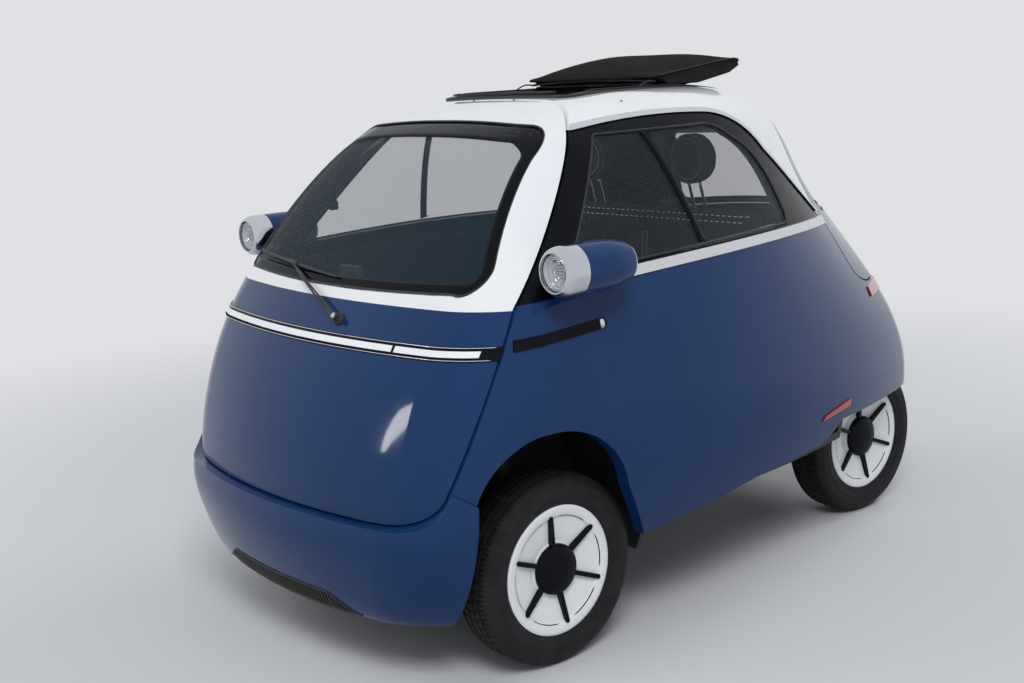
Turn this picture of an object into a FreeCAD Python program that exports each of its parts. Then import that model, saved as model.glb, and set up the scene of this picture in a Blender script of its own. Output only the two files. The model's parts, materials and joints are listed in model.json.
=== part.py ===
import FreeCAD, Part
import math
import os
import Sketcher
from collections import namedtuple

# Microcar with a front door, a rear hatch, a folded-back roof and steered front wheels.
# Millimetres. X to the car's left, -Y to its front, +Z up, ground at z = 0.

V = FreeCAD.Vector
doc = FreeCAD.newDocument("microcar")
sheet = doc.addObject("Spreadsheet::Sheet", "sizes")

# Driving dimensions: alias, value in mm or degrees, meaning
SIZES = [
    ("front_axle_y", -730, "front axle line"),
    ("rear_axle_y", 845, "rear axle line"),
    ("front_half_track", 583, "middle of a front tyre"),
    ("rear_half_track", 396.5, "middle of a rear tyre"),
    ("tyre_radius", 262, "also the height of the hubs"),
    ("tyre_width", 145, "widest part of the sidewalls"),
    ("tread_width", 104, "flat of the tread"),
    ("bead_radius", 165, "rim seat of the tyre"),
    ("flange_radius", 177.5, "rim edge"),
    ("rim_width", 121, "over both flanges"),
    ("flange_width", 6.5, "thickness of a rim flange"),
    ("rim_wall", 5, "barrel and disc"),
    ("hub_radius", 44, "boss of the wheel disc"),
    ("spindle_radius", 18, "wheel spindle"),
    ("running_gap", 0.3, "between a shaft and its bore"),
    ("cap_radius", 70, "black hub cap"),
    ("dish_radius", 147, "where the wheel's rolled edge begins"),
    ("dish_depth", 22, "dish below the rim edge beside the cap"),
    ("spoke_length", 155, "tip of a black spoke bar"),
    ("spoke_width", 13, "black spoke bar"),
    ("kingpin_x", 530, "steering axis of a front wheel"),
    ("kingpin_radius", 14, "pin of the knuckle"),
    ("wall", 42, "door, body side and roof"),
    ("door_gap", 6, "round the door and the hatch"),
    ("seam", 0.4, "between fixed panels"),
    ("trim_rise", 5, "belt strip and light bar"),
    ("floor_top", 365, "cabin floor"),
    ("floor_thickness", 30, "cabin floor"),
    ("boot_floor_top", 590, "luggage floor"),
    ("lamp_x", 758, "axis of a lamp pod"),
    ("lamp_z", 1078, "axis of a lamp pod"),
    ("lamp_front_y", -806, "front edge of the chrome ring"),
    ("lamp_radius", 66, "widest part of a lamp pod"),
    ("lamp_length", 246, "front edge to mirror"),
    ("steering_wheel_radius", 175, "middle of its rim"),
    ("steering_rim_radius", 14, "its rim's section"),
    ("column_x", 270, "driver's place"),
    ("column_radius", 22, "steering column"),
    ("arm_radius", 13, "suspension arms"),
    ("axle_radius", 32, "rear axle tube"),
    ("headrest_radius", 80, "round headrest"),
    ("headrest_width", 70, "round headrest"),
    ("hinge_x", 672, "door hinge line, in the left wall"),
    ("hinge_y", -900, "door hinge line"),
    ("hinge_pin", 7, "radius of the door's hinge pin"),
    ("jack_radius", 12, "jack socket in the floor"),
    ("jack_depth", 22, "jack socket in the floor"),
]
for row, (alias, value, meaning) in enumerate(SIZES, 1):
    sheet.set("A%d" % row, meaning)
    sheet.set("B%d" % row, str(value))
    sheet.setAlias("B%d" % row, alias)
doc.recompute()


class Size:
    """A number that also knows the spreadsheet expression it comes from."""

    def __init__(self, value, text):
        self.value = float(value)
        self.text = text

    def __float__(self):
        return self.value

    def __add__(self, other):
        return Size(self.value + float(other), "(%s + %s)" % (self.text, wording(other)))

    def __sub__(self, other):
        return Size(self.value - float(other), "(%s - %s)" % (self.text, wording(other)))

    def __mul__(self, other):
        return Size(self.value * float(other), "(%s * %s)" % (self.text, wording(other)))

    def __neg__(self):
        return Size(-self.value, "(0 - %s)" % self.text)


def wording(number):
    return number.text if isinstance(number, Size) else repr(float(number))


S = {alias: Size(sheet.get(alias), "sizes.%s" % alias) for alias, value, meaning in SIZES}
N = {alias: size.value for alias, size in S.items()}
nodes = []


# General helpers

def keep(label, thing):
    """Register a sub-part under its node name."""
    thing.Label = label
    nodes.append(thing)
    return thing


def panel(label, shape):
    """A sub-part whose shape comes from the body's curved skins."""
    feature = doc.addObject("Part::Feature", label)
    feature.Shape = shape
    return keep(label, feature)


def mirrored(shape):
    return shape.mirror(V(0, 0, 0), V(1, 0, 0))


def both_sides(*shapes):
    solids = []
    for shape in shapes:
        solids += shape.Solids + mirrored(shape).Solids
    return Part.makeCompound(solids)


def outline(plane, points):
    """Closed wire. A pair is a corner, four numbers are an arc through one point to the next."""
    place = {"yz": lambda a, b: V(0, a, b), "xz": lambda a, b: V(a, 0, b), "xy": lambda a, b: V(a, b, 0)}[plane]
    start = place(*points[0])
    here = start
    edges = []
    for point in points[1:] + [points[0]]:
        end = place(*point[-2:])
        if len(point) == 4:
            edges.append(Part.Arc(here, place(*point[:2]), end).toShape())
        elif here.distanceToPoint(end) > 0.01:
            edges.append(Part.makeLine(here, end))
        here = end
    return Part.Wire(edges)


def prism(wire, start, reach):
    """Solid from a wire moved to start and extruded by reach."""
    face = Part.Face(wire)
    face.translate(start)
    return face.extrude(reach)


def through_x(wire):
    return prism(wire, V(-1000, 0, 0), V(2000, 0, 0))


def symmetric(right_half):
    """Full outline from its right half, given from the lower middle to the upper middle."""
    corners = [(point[-2], point[-1]) for point in right_half]
    points = list(right_half)
    for i in range(len(right_half) - 1, -1, -1):
        if i == len(right_half) - 1:
            points.append((-corners[i][0], corners[i][1]))
        elif len(right_half[i + 1]) == 4:
            middle = right_half[i + 1]
            points.append((-middle[0], middle[1], -corners[i][0], corners[i][1]))
        else:
            points.append((-corners[i][0], corners[i][1]))
    return points


def block(x0, x1, y0, y1, z0, z1):
    return Part.makeBox(x1 - x0, y1 - y0, z1 - z0, V(x0, y0, z0))


def rod(start, end, radius):
    axis = end - start
    return Part.makeCylinder(radius, axis.Length, start, axis)


def turned(profile, origin, axis):
    """Solid turned about an axis. The profile holds (distance along the axis, radius) pairs."""
    wire = Part.makePolygon([V(a, r, 0) for a, r in profile + [profile[0]]])
    solid = Part.Face(wire).revolve(V(0, 0, 0), V(1, 0, 0), 360)
    solid.Placement = FreeCAD.Placement(origin, FreeCAD.Rotation(V(1, 0, 0), axis))
    return solid


# Body skin: level sections of tangent arcs, lofted upwards

Section = namedtuple("Section", "z front rear half_width widest_y bow side_front side_rear stern "
                                "front_corner rear_corner")
BODY = [Section(*row) for row in (
    (220, -1183, 1150, 640, -230, 1850, 5900, 3600, 1220, 300, 300),
    (400, -1221, 1245, 715, -250, 2000, 6200, 3550, 1260, 295, 300),
    (550, -1206, 1259, 736.5, -285, 2090, 6500, 3300, 1280, 280, 312),
    (700, -1157, 1228, 736.5, -325, 2240, 6600, 2900, 1220, 268, 312),
    (850, -1085, 1145, 723, -345, 2450, 6400, 2450, 1130, 257, 298),
    (1000, -985, 1021, 694, -340, 2650, 5900, 2050, 1000, 246, 280),
    (1150, -876, 886, 635, -290, 2600, 5300, 1700, 850, 235, 258),
    (1300, -742, 741, 558, -190, 2370, 4800, 1380, 700, 218, 238),
    (1410, -599, 594, 480, -95, 2000, 4200, 1120, 560, 198, 218),
    (1470, -426, 458, 400, -40, 1650, 3400, 900, 450, 178, 198),
    (1494, -250, 300, 270, -10, 1300, 2400, 700, 340, 150, 170))]
BUMPER = [Section(*row) for row in (
    (180, -1196, 1150, 652, -260, 1900, 6500, 3600, 1220, 300, 300),
    (260, -1232, 1245, 690, -260, 1980, 6500, 3550, 1260, 298, 300),
    (340, -1252, 1245, 712, -265, 2020, 6500, 3550, 1260, 296, 300),
    (410, -1259.5, 1245, 724, -270, 2050, 6500, 3500, 1270, 292, 300),
    (455, -1252, 1250, 730, -275, 2060, 6500, 3400, 1270, 288, 306),
    (510, -1228, 1255, 736, -280, 2080, 6500, 3350, 1280, 284, 310),
    (570, -1205, 1259, 738, -290, 2100, 6500, 3250, 1280, 278, 312))]
TURN_IN_HEIGHT = 600


def toward(centre, radius, point):
    """Point of a circle that faces another point."""
    dx = point[0] - centre[0]
    dy = point[1] - centre[1]
    reach = math.hypot(dx, dy)
    return (centre[0] + dx / reach * radius, centre[1] + dy / reach * radius)


def corner_centre(c1, r1, c2, r2, radius, rearward):
    """Centre of a circle that touches two others from inside."""
    d1 = r1 - radius
    d2 = r2 - radius
    dx = c2[0] - c1[0]
    dy = c2[1] - c1[1]
    gap = math.hypot(dx, dy)
    along = (d1 * d1 - d2 * d2 + gap * gap) / (2 * gap)
    across = math.sqrt(max(d1 * d1 - along * along, 0))
    pair = [(c1[0] + (along * dx - side * across * dy) / gap,
             c1[1] + (along * dy + side * across * dx) / gap) for side in (1, -1)]
    pair.sort(key=lambda point: point[1])
    return pair[1] if rearward else pair[0]


def section_wire(row, inset, z):
    """Ten tangent arcs: bow, front corner, side front, side rear, rear corner, and mirrored."""
    front = row.front + inset
    rear = row.rear - inset
    width = row.half_width - inset
    bow, side_front, side_rear, stern, front_corner, rear_corner = [radius - inset for radius in row[5:]]
    bow_centre = (0, front + bow)
    stern_centre = (0, rear - stern)
    fore_centre = (width - side_front, row.widest_y)
    aft_centre = (width - side_rear, row.widest_y)
    front_centre = corner_centre(bow_centre, bow, fore_centre, side_front, front_corner, False)
    rear_centre = corner_centre(stern_centre, stern, aft_centre, side_rear, rear_corner, True)
    p1 = toward(bow_centre, bow, front_centre)
    p2 = toward(fore_centre, side_front, front_centre)
    p3 = (width, row.widest_y)
    p4 = toward(aft_centre, side_rear, rear_centre)
    p5 = toward(stern_centre, stern, rear_centre)

    def middle(centre, radius, a, b):
        return toward(centre, radius, ((a[0] + b[0]) / 2, (a[1] + b[1]) / 2))

    half = [(p1, middle(front_centre, front_corner, p1, p2), p2),
            (p2, middle(fore_centre, side_front, p2, p3), p3),
            (p3, middle(aft_centre, side_rear, p3, p4), p4),
            (p4, middle(rear_centre, rear_corner, p4, p5), p5)]
    opposite = [tuple((-x, y) for x, y in reversed(arc)) for arc in reversed(half)]
    arcs = half + [(p5, (0, rear), opposite[0][0])] + opposite + [(opposite[-1][-1], (0, front), p1)]
    return Part.Wire([Part.Arc(*[V(x, y, z) for x, y in arc]).toShape() for arc in arcs])


def lofted(rows, inset, drop):
    """Solid inside the skin at an inset measured square to the surface."""
    wires = []
    for i, row in enumerate(rows):
        low = rows[max(i - 1, 0)]
        high = rows[min(i + 1, len(rows) - 1)]
        shrink = (high.rear - high.front - low.rear + low.front) / 2 + high.half_width - low.half_width
        lean = max(-shrink / 2 / (high.z - low.z), 0) if row.z > TURN_IN_HEIGHT else 0
        flat = inset / math.hypot(1, lean)
        z = row.z - flat * lean - (drop if i == 0 else 0)
        wires.append(section_wire(row, flat, z))
    return Part.makeLoft(wires, True, False)


skins = {}


def skin(inset):
    if inset not in skins:
        skins[inset] = lofted(BODY, inset, 30 if inset > 0 else 0)
    return skins[inset]


def layer(outer, inner):
    key = (outer, inner)
    if key not in skins:
        skins[key] = skin(outer).cut(skin(inner))
    return skins[key]


wall = layer(0, N["wall"])
trim_skin = layer(-N["trim_rise"], -N["running_gap"])
glass_skin = layer(4, 9)
bumper_inner = lofted(BUMPER, N["wall"], 30)
bumper_skin = lofted(BUMPER, 0, 0).cut(bumper_inner)

# Cut lines of the panels in side view (y, z) and in end view (x, z)

DOOR_BOTTOM = 462
DOOR_SPLIT = 980
door_line = outline("yz", [
    (-1400, DOOR_BOTTOM), (-1180, DOOR_BOTTOM), (-1122, 482, -1071, 550), (-972, 762, -845, 985),
    (-478, 1400), (-412, 1454, -338, 1492), (-338, 1700), (-1400, 1700)])
door_region = through_x(door_line)
door_clear = through_x(door_line.makeOffset2D(N["door_gap"]))
WHEEL_Z = N["tyre_radius"]
AXLE_Y = N["front_axle_y"]


def about_wheel(points):
    """Side-view points given from the front axle line."""
    moved = []
    for point in points:
        moved.append(tuple(value + AXLE_Y if i % 2 == 0 else value for i, value in enumerate(point)))
    return moved


arch_line = outline("yz", about_wheel([
    (-306, 100), (-284, 515), (-212, 622, -75, 664), (98, 612, 190, 470), (278, 300), (280, 100)]))
arch_clear = through_x(arch_line)
bumper_region = through_x(outline("yz", [
    (-1400, 150), (-1036, 150), (-1014.5, 513), (-1090, 566), (-1110, 700), (-1400, 700)]))
bumper_clear = through_x(outline("yz", [
    (-1400, 100), (-1036, 100), (-1014, 513.5), (-1090, 566.5), (-1110, 700), (-1400, 700)]))
BELT = [(-900, 984), (0, 1032, 735, 1012)]
below_belt = through_x(outline("yz", BELT + [(1400, 985), (1400, 100), (-1400, 100), (-1400, 984)]))
above_belt = through_x(outline("yz", BELT + [(1400, 985), (1400, 1700), (-1400, 1700), (-1400, 984)]))
above_belt.translate(V(0, 0, N["seam"]))
below_sill = through_x(outline("yz", [
    (-1400, 100), (1400, 100), (1400, 411), (950, 413), (480, 430), (425, 402, 360, 377),
    (20, 362), (-470, 298), (-1400, 230)]))
window_frame_line = outline("yz", BELT + [
    (330, 1290), (215, 1378, 60, 1420), (-200, 1424, -500, 1397)])
window_frame_region = through_x(window_frame_line)
side_glass_line = outline("yz", [
    (-686, 1042), (-170, 1062, 300, 1064), (332, 1070, 345, 1102), (292, 1232, 150, 1346),
    (92, 1378, 20, 1390), (-410, 1388)])
PANE_SPLIT = [(-221, 1392), (-155, 1058)]
hatch_line = outline("xz", symmetric([
    (0, 790), (370, 790), (414, 806, 430, 850), (302, 1330), (284, 1372, 230, 1385), (0, 1385)]))
rear_window_line = outline("xz", symmetric([
    (0, 1035), (285, 1035), (321, 1048, 330, 1085), (268, 1290), (250, 1328, 205, 1338), (0, 1338)]))
windshield_line = outline("xz", symmetric([
    (0, 1006), (255, 1008, 500, 1014), (560, 1032, 568, 1085), (472, 1335), (434, 1396, 370, 1420),
    (188, 1431, 0, 1434)]))
REAR_SEAM_Y = 950
BUMPER_TOP = 735


def rearward(wire):
    return prism(wire, V(0, 250, 0), V(0, 1150, 0))


def forward(wire):
    return prism(wire, V(0, -1400, 0), V(0, 1150, 0))


hatch_region = rearward(hatch_line)
hatch_clear = rearward(hatch_line.makeOffset2D(N["door_gap"]))
rear_bumper_region = block(-900, 900, REAR_SEAM_Y, 1400, 411, BUMPER_TOP)
well_radius = N["tyre_radius"] + 6.5
well_side = N["rear_half_track"] + N["tyre_width"] / 2 + 6
rear_well = turned([(300, 0), (300, well_radius), (well_side - 23, well_radius), (well_side - 13, well_radius - 13.5),
                    (well_side - 3.5, well_radius - 28.5), (well_side, well_radius - 46), (well_side, 0)],
                   V(0, N["rear_axle_y"], WHEEL_Z), V(1, 0, 0))
rear_wells = both_sides(rear_well)
ROOF_HOLE = (305, -331, 386, 70)


def rounded(half_x, y0, y1, corner, z0, z1):
    solid = block(-half_x, half_x, y0, y1, z0, z1)
    upright = [e for e in solid.Edges if abs(e.tangentAt(e.FirstParameter).z) > 0.9]
    return solid.makeFillet(corner, upright)


roof_hole = rounded(*ROOF_HOLE, 1380, 1600)

# Fixed panels

sides = wall.common(below_belt).cut(door_clear).cut(arch_clear).cut(below_sill).cut(bumper_clear)
sides = sides.cut(hatch_clear).cut(block(-900, 900, REAR_SEAM_Y - N["seam"], 1400, 300, BUMPER_TOP + N["seam"]))
sides = sides.cut(rear_wells)
side_right = sides.common(block(-900, -N["seam"], -1400, 1400, 0, 1600))
HINGE_Z = (684, 746)
HINGE_POCKET = 12
HINGE_DISC = 6


def on_hinge(radius, low, high):
    return rod(V(N["hinge_x"], N["hinge_y"], low), V(N["hinge_x"], N["hinge_y"], high), radius)


ARM_LOW_Z = HINGE_Z[0] + 10
ARM_WIDTH = 16
arm_sweep = on_hinge(42, ARM_LOW_Z - 6, ARM_LOW_Z + ARM_WIDTH + 6).common(block(0, N["hinge_x"] + 15, -1400, 0, 0, 900))
pocket = on_hinge(HINGE_POCKET, HINGE_Z[0] - HINGE_DISC - N["seam"], HINGE_Z[1] + HINGE_DISC + N["seam"]).fuse(arm_sweep)
LATCH = V(-638, -900, 885)
STRIKER_RADIUS = 5


def latch_rod(radius, front, back):
    return rod(LATCH - V(0, front, 0), LATCH + V(0, back, 0), radius)


panel("side_shell_left", mirrored(side_right).cut(pocket))
panel("side_shell_right", side_right.cut(latch_rod(STRIKER_RADIUS + N["running_gap"], 40, 19)))
roof = wall.common(above_belt).cut(window_frame_region).cut(door_clear).cut(hatch_clear).cut(roof_hole)
panel("roof_shell", roof)
panel("rear_bumper", wall.common(rear_bumper_region).cut(rear_wells))
front_bumper = bumper_skin.common(bumper_region).cut(door_clear)
panel("front_bumper", front_bumper)
frame_inner = through_x(window_frame_line.makeOffset2D(-N["seam"]))
glass_hole = through_x(side_glass_line)
half_right = block(0, 900, -1400, 1400, 0, 1700)
window_frame = wall.common(frame_inner).cut(glass_hole).cut(door_clear).common(half_right)
window_frame = window_frame.cut(below_belt).cut(hatch_clear)
panel("window_frames", both_sides(window_frame))
pane = glass_skin.common(through_x(side_glass_line.makeOffset2D(-N["seam"]))).common(half_right)
split_front = through_x(outline("yz", PANE_SPLIT + [(-155, 900), (-1400, 900), (-1400, 1600), (-221, 1600)]))
front_pane = pane.common(split_front)
rear_pane = pane.cut(split_front)
panel("side_glass", both_sides(front_pane, rear_pane))


# Hinges: pin and gooseneck arm of the door, barrels and leaves of the hatch

discs = [on_hinge(HINGE_POCKET - N["seam"], low, low + HINGE_DISC) for low in (HINGE_Z[0] - HINGE_DISC, HINGE_Z[1])]
door_pin = on_hinge(N["hinge_pin"], HINGE_Z[0] - HINGE_DISC, HINGE_Z[1] + HINGE_DISC).multiFuse(discs).removeSplitter()
barrel = on_hinge(N["hinge_pin"] + 3, HINGE_Z[0] + 6, HINGE_Z[1] - 6)
ARM_PATH = [V(N["hinge_x"] + x, N["hinge_y"] + y, ARM_LOW_Z)
            for x, y in ((0, 0), (-104, 82), (-166, -13), (-134, -92), (-80, -150))]
gooseneck = []
for start, end in zip(ARM_PATH, ARM_PATH[1:]):
    along = end - start
    length = along.Length
    leg = block(0, length, -ARM_WIDTH / 2, ARM_WIDTH / 2, 0, ARM_WIDTH)
    leg.Placement = FreeCAD.Placement(start, FreeCAD.Rotation(V(1, 0, 0), along))
    gooseneck += [leg, rod(end, end + V(0, 0, ARM_WIDTH), ARM_WIDTH / 2)]
arm = gooseneck[0].multiFuse(gooseneck[1:]).common(skin(N["wall"] + N["seam"])).fuse(barrel).removeSplitter()
arm = arm.cut(on_hinge(N["hinge_pin"] + N["running_gap"], 600, 800))
panel("door_hinge_arm", arm)
HATCH_AXIS = V(0, 633.5, 1394.6)
LEAF_BACK = V(0, 0.83, -0.557)
LEAF_OUT = V(0, 0.557, 0.83)
BARREL = 8


def hatch_leaf(x0, x1, side):
    """Barrel on the hatch axis with a leaf that lies on the skin on one side of the gap."""
    def at(back, out):
        point = HATCH_AXIS + LEAF_BACK * (side * back) + LEAF_OUT * out
        return (point.y, point.z)
    leaf = prism(outline("yz", [at(0, 3), at(0, -12), at(4, -40), at(44, -40), at(44, -7)]), V(x0, 0, 0), V(x1 - x0, 0, 0))
    turn = rod(V(x0, HATCH_AXIS.y, HATCH_AXIS.z), V(x1, HATCH_AXIS.y, HATCH_AXIS.z), BARREL)
    return turn.fuse(leaf).cut(skin(-N["running_gap"]))


panel("hatch_hinges", both_sides(hatch_leaf(75, 105, 1)))
roof_leaves = both_sides(hatch_leaf(50, 74.5, -1), hatch_leaf(105.5, 130, -1))
striker = latch_rod(STRIKER_RADIUS, 18, 18)
panel("hinge_mounts", Part.makeCompound([door_pin, striker] + roof_leaves.Solids))

# Strips on the skin

STRIP = 27
belt_strip = outline("yz", [(-590, 1014), (60, 1033, 720, 1014), (742, 1010), (722, 1040),
                            (60, 1033 + STRIP, -590, 1014 + STRIP)])
roof_strip = window_frame_line.makeOffset2D(13)
strip = trim_skin.common(half_right)
belt = strip.common(through_x(belt_strip)).cut(hatch_clear)
edge = strip.common(through_x(roof_strip)).cut(window_frame_region).cut(door_clear).cut(below_belt)
edge = edge.cut(block(0, 900, -1400, 1400, 900, 1041)).cut(block(0, 900, 500, 1400, 900, 1060))
panel("belt_trims", both_sides(belt, edge))
side_bar = strip.common(through_x(outline("yz", [(-879, 884), (-598, 905), (-594, 908, -598, 932), (-871, 911)])))
panel("fender_trims", both_sides(side_bar.cut(door_clear)))
markers = strip.common(through_x(outline("yz", [(338, 456), (360, 470), (528, 488), (524, 466)])))
tail_bar = trim_skin.common(block(-900, 900, 905, 1400, 744, 776))
panel("rear_lamps", Part.makeCompound(both_sides(markers).Solids + tail_bar.Solids))

# Door: lower panel, windshield surround, glass and what it carries

door_shell = wall.common(door_region).cut(latch_rod(STRIKER_RADIUS + 3, 26, 40))
low = block(-900, 900, -1400, 0, 300, DOOR_SPLIT - N["seam"])
panel("door_panel", door_shell.common(low))
high = block(-900, 900, -1400, 0, DOOR_SPLIT, 1700)
panel("door_frame", door_shell.common(high).cut(forward(windshield_line)))
panel("windshield", glass_skin.common(forward(windshield_line.makeOffset2D(-N["seam"]))))
BAR_LOW, BAR_HIGH = 868, 900
STRIP_LOW, STRIP_HIGH = 876.5, 891.5
STRIP_SPANS = ((-600, 383), (393, 633))
bar = trim_skin.common(block(-900, 900, -1400, 0, BAR_LOW, BAR_HIGH)).common(door_region)
margin = N["running_gap"]
slots = [block(x0 - margin, x1 + margin, -1400, 0, STRIP_LOW - margin, STRIP_HIGH + margin) for x0, x1 in STRIP_SPANS]
panel("light_bar", bar.cut(slots))
strips = [bar.common(block(x0, x1, -1400, 0, STRIP_LOW, STRIP_HIGH)) for x0, x1 in STRIP_SPANS]
panel("light_strips", Part.makeCompound([solid for strip_part in strips for solid in strip_part.Solids]))
dash = layer(N["wall"] + N["running_gap"], 118).common(block(-520, 520, -1400, -600, 905, 988))
dash_inset = through_x(door_line.makeOffset2D(-12))
display = block(-52, 52, -905, -893, 988.4, 1052)
panel("door_inner_trim", Part.makeCompound(dash.common(dash_inset).Solids + [display]))
PIVOT = V(128, -1052, 932)
BLADE_LEFT = V(-495, -919, 1060)
BLADE_RIGHT = V(30, -991, 1028)
blade_middle = BLADE_LEFT * 0.5 + BLADE_RIGHT * 0.5
boss = rod(PIVOT + V(0, 60, 0), PIVOT + V(0, -8, 0), 16).cut(skin(-N["running_gap"]))
arm_end = blade_middle + V(0, -9, 3)
wiper = boss.multiFuse([rod(PIVOT, arm_end, 6), rod(BLADE_LEFT, BLADE_RIGHT, 5.5),
                        rod(arm_end, blade_middle, 6)])
panel("wiper", wiper)

# Hatch

hatch_shell = wall.common(hatch_region)
panel("hatch_panel", hatch_shell.cut(rearward(rear_window_line)))
panel("rear_window", glass_skin.common(rearward(rear_window_line.makeOffset2D(-N["seam"]))))

# Floor with the wheel liners, the front beam and the toe board

lining = skin(N["wall"] + N["seam"])
clear_lining = skin(52)
LINER_X = 358
LINER_WALL = 12
FLOOR_LOW = N["floor_top"] - N["floor_thickness"]
LINER_BACK = AXLE_Y + 315


def liner(grow):
    side = 315 + grow
    return outline("yz", about_wheel([(-side, 120), (-side, 380), (0, 676 + grow, side, 380), (side, 120)]))


def liner_shell(sign):
    x0, x1 = sorted((sign * LINER_X, sign * 800))
    outer = prism(liner(LINER_WALL), V(x0, 0, 0), V(x1 - x0, 0, 0))
    x0, x1 = sorted((sign * (LINER_X + LINER_WALL), sign * 800))
    inner = prism(liner(0), V(x0, 0, 0), V(x1 - x0, 0, 0))
    return outer.cut(inner).common(block(-800, 800, -1400, 0, 230, 800)).common(clear_lining)


BATTERY_TOP = FLOOR_LOW - N["seam"]
cabin_floor = block(-800, 800, LINER_BACK, 572, FLOOR_LOW, N["floor_top"]).common(lining)
front_floor = block(-LINER_X, LINER_X, -1092, LINER_BACK, 290, 320)
toe_board = block(-LINER_X, LINER_X, -1092, -1080, 290, 600).common(clear_lining)
step = block(-LINER_X, LINER_X, LINER_BACK, LINER_BACK + 12, 290, N["floor_top"])
riser = block(-800, 800, 545, 572, FLOOR_LOW, N["boot_floor_top"]).common(lining)
boot_floor = block(-800, 800, 545, 1300, N["boot_floor_top"] - 24, N["boot_floor_top"]).common(lining)
beam = block(-320, 320, -1300, -1092, 300, 400).common(lofted(BUMPER, N["wall"] + N["seam"], 30))
sockets = [rod(V(x, y, FLOOR_LOW - 1), V(x, y, FLOOR_LOW + N["jack_depth"]), N["jack_radius"])
           for x in (-540, 540) for y in (-350, 400)]
luggage_pad = block(-320, 320, 620, 920, N["boot_floor_top"] - 4, N["boot_floor_top"] + 3)
parts = [front_floor, toe_board, step, riser, boot_floor, luggage_pad, beam, liner_shell(1), liner_shell(-1)]
floor = cabin_floor.multiFuse(parts).removeSplitter().cut(sockets)
panel("floor_platform", floor)


def bound(kind, name, bindings):
    """Primitive whose properties are tied to the spreadsheet."""
    thing = doc.addObject(kind, name)
    for path, size in bindings.items():
        thing.setExpression(path, wording(size))
    return thing


def bound_box(name, x, y, z, length, width, height):
    return bound("Part::Box", name, {
        "Length": length, "Width": width, "Height": height,
        "Placement.Base.x": x, "Placement.Base.y": y, "Placement.Base.z": z})


BATTERY_LENGTH = 760
battery_height = S["floor_top"] - S["floor_thickness"] - S["seam"] - 205
keep("battery_block", bound_box("battery_block", -300, -360, 205, 600, BATTERY_LENGTH, battery_height))
drive_top = S["boot_floor_top"] - 24 - S["seam"]
keep("drive_unit", bound_box("drive_unit", -170, S["rear_axle_y"] - 130, 310, 340, 260, drive_top - 310))

# Suspension: tube axle on trailing arms at the rear, two arms and a spring strut a side in front

HUB_Z = N["tyre_radius"]
REAR_Y = N["rear_axle_y"]
tube = rod(V(-290, REAR_Y, HUB_Z), V(290, REAR_Y, HUB_Z), N["axle_radius"])
spindles = rod(V(-N["rear_half_track"] - 46, REAR_Y, HUB_Z), V(N["rear_half_track"] + 46, REAR_Y, HUB_Z),
               N["spindle_radius"])
trailing = [(572.3, 400), (572.3, 470), (REAR_Y + 20, 318), (REAR_Y + 20, 240), (REAR_Y - 40, 240)]
trailing_arms = [prism(outline("yz", trailing), V(x, 0, 0), V(30, 0, 0)) for x in (-265, 235)]
motor_mount = block(-60, 60, REAR_Y - 50, REAR_Y + 50, HUB_Z, 309.6)
panel("rear_axle", tube.multiFuse([spindles, motor_mount] + trailing_arms).removeSplitter())

KING_X = N["kingpin_x"]
ARM_LOW = 172
ARM_HIGH = 352
ARM_THICK = 20
STRUT_X = 425


def suspension_arm(z):
    eye = rod(V(KING_X, AXLE_Y, z - ARM_THICK / 2), V(KING_X, AXLE_Y, z + ARM_THICK / 2), 27)
    blade = prism(outline("xy", [(LINER_X + LINER_WALL + 0.3, AXLE_Y - 70), (KING_X, AXLE_Y - 22),
                                 (KING_X, AXLE_Y + 22), (LINER_X + LINER_WALL + 0.3, AXLE_Y + 70)]),
                  V(0, 0, z - 7), V(0, 0, 14))
    bore = rod(V(KING_X, AXLE_Y, z - 40), V(KING_X, AXLE_Y, z + 40), N["kingpin_radius"] + N["running_gap"])
    return eye.fuse(blade).cut(bore)


strut = rod(V(STRUT_X, AXLE_Y, ARM_LOW), V(STRUT_X, AXLE_Y, 675.5), 15)
spring = rod(V(STRUT_X, AXLE_Y, 400), V(STRUT_X, AXLE_Y, 640), 27)
front_side = suspension_arm(ARM_LOW).multiFuse([suspension_arm(ARM_HIGH), strut, spring])
panel("front_suspension", both_sides(front_side))

post = rod(V(KING_X, AXLE_Y, ARM_LOW - 22), V(KING_X, AXLE_Y, ARM_HIGH + 22), N["kingpin_radius"])
collars = [rod(V(KING_X, AXLE_Y, z), V(KING_X, AXLE_Y, z + 12), 22)
           for z in (ARM_LOW + ARM_THICK / 2 + 0.5, ARM_HIGH - ARM_THICK / 2 - 12.5)]
hub_plate = rod(V(KING_X + 10, AXLE_Y, HUB_Z), V(KING_X + 24, AXLE_Y, HUB_Z), 62)
body_post = rod(V(KING_X, AXLE_Y, ARM_LOW + 22), V(KING_X, AXLE_Y, ARM_HIGH - 22), 22)
front_spindle = rod(V(KING_X, AXLE_Y, HUB_Z), V(N["front_half_track"] + 46, AXLE_Y, HUB_Z), N["spindle_radius"])
knuckle = post.multiFuse(collars + [hub_plate, body_post, front_spindle]).removeSplitter()
panel("knuckle_fl", knuckle)
panel("knuckle_fr", mirrored(knuckle))

# Wheels: each turned about its own axle line, outer side towards +X of the wheel

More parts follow.
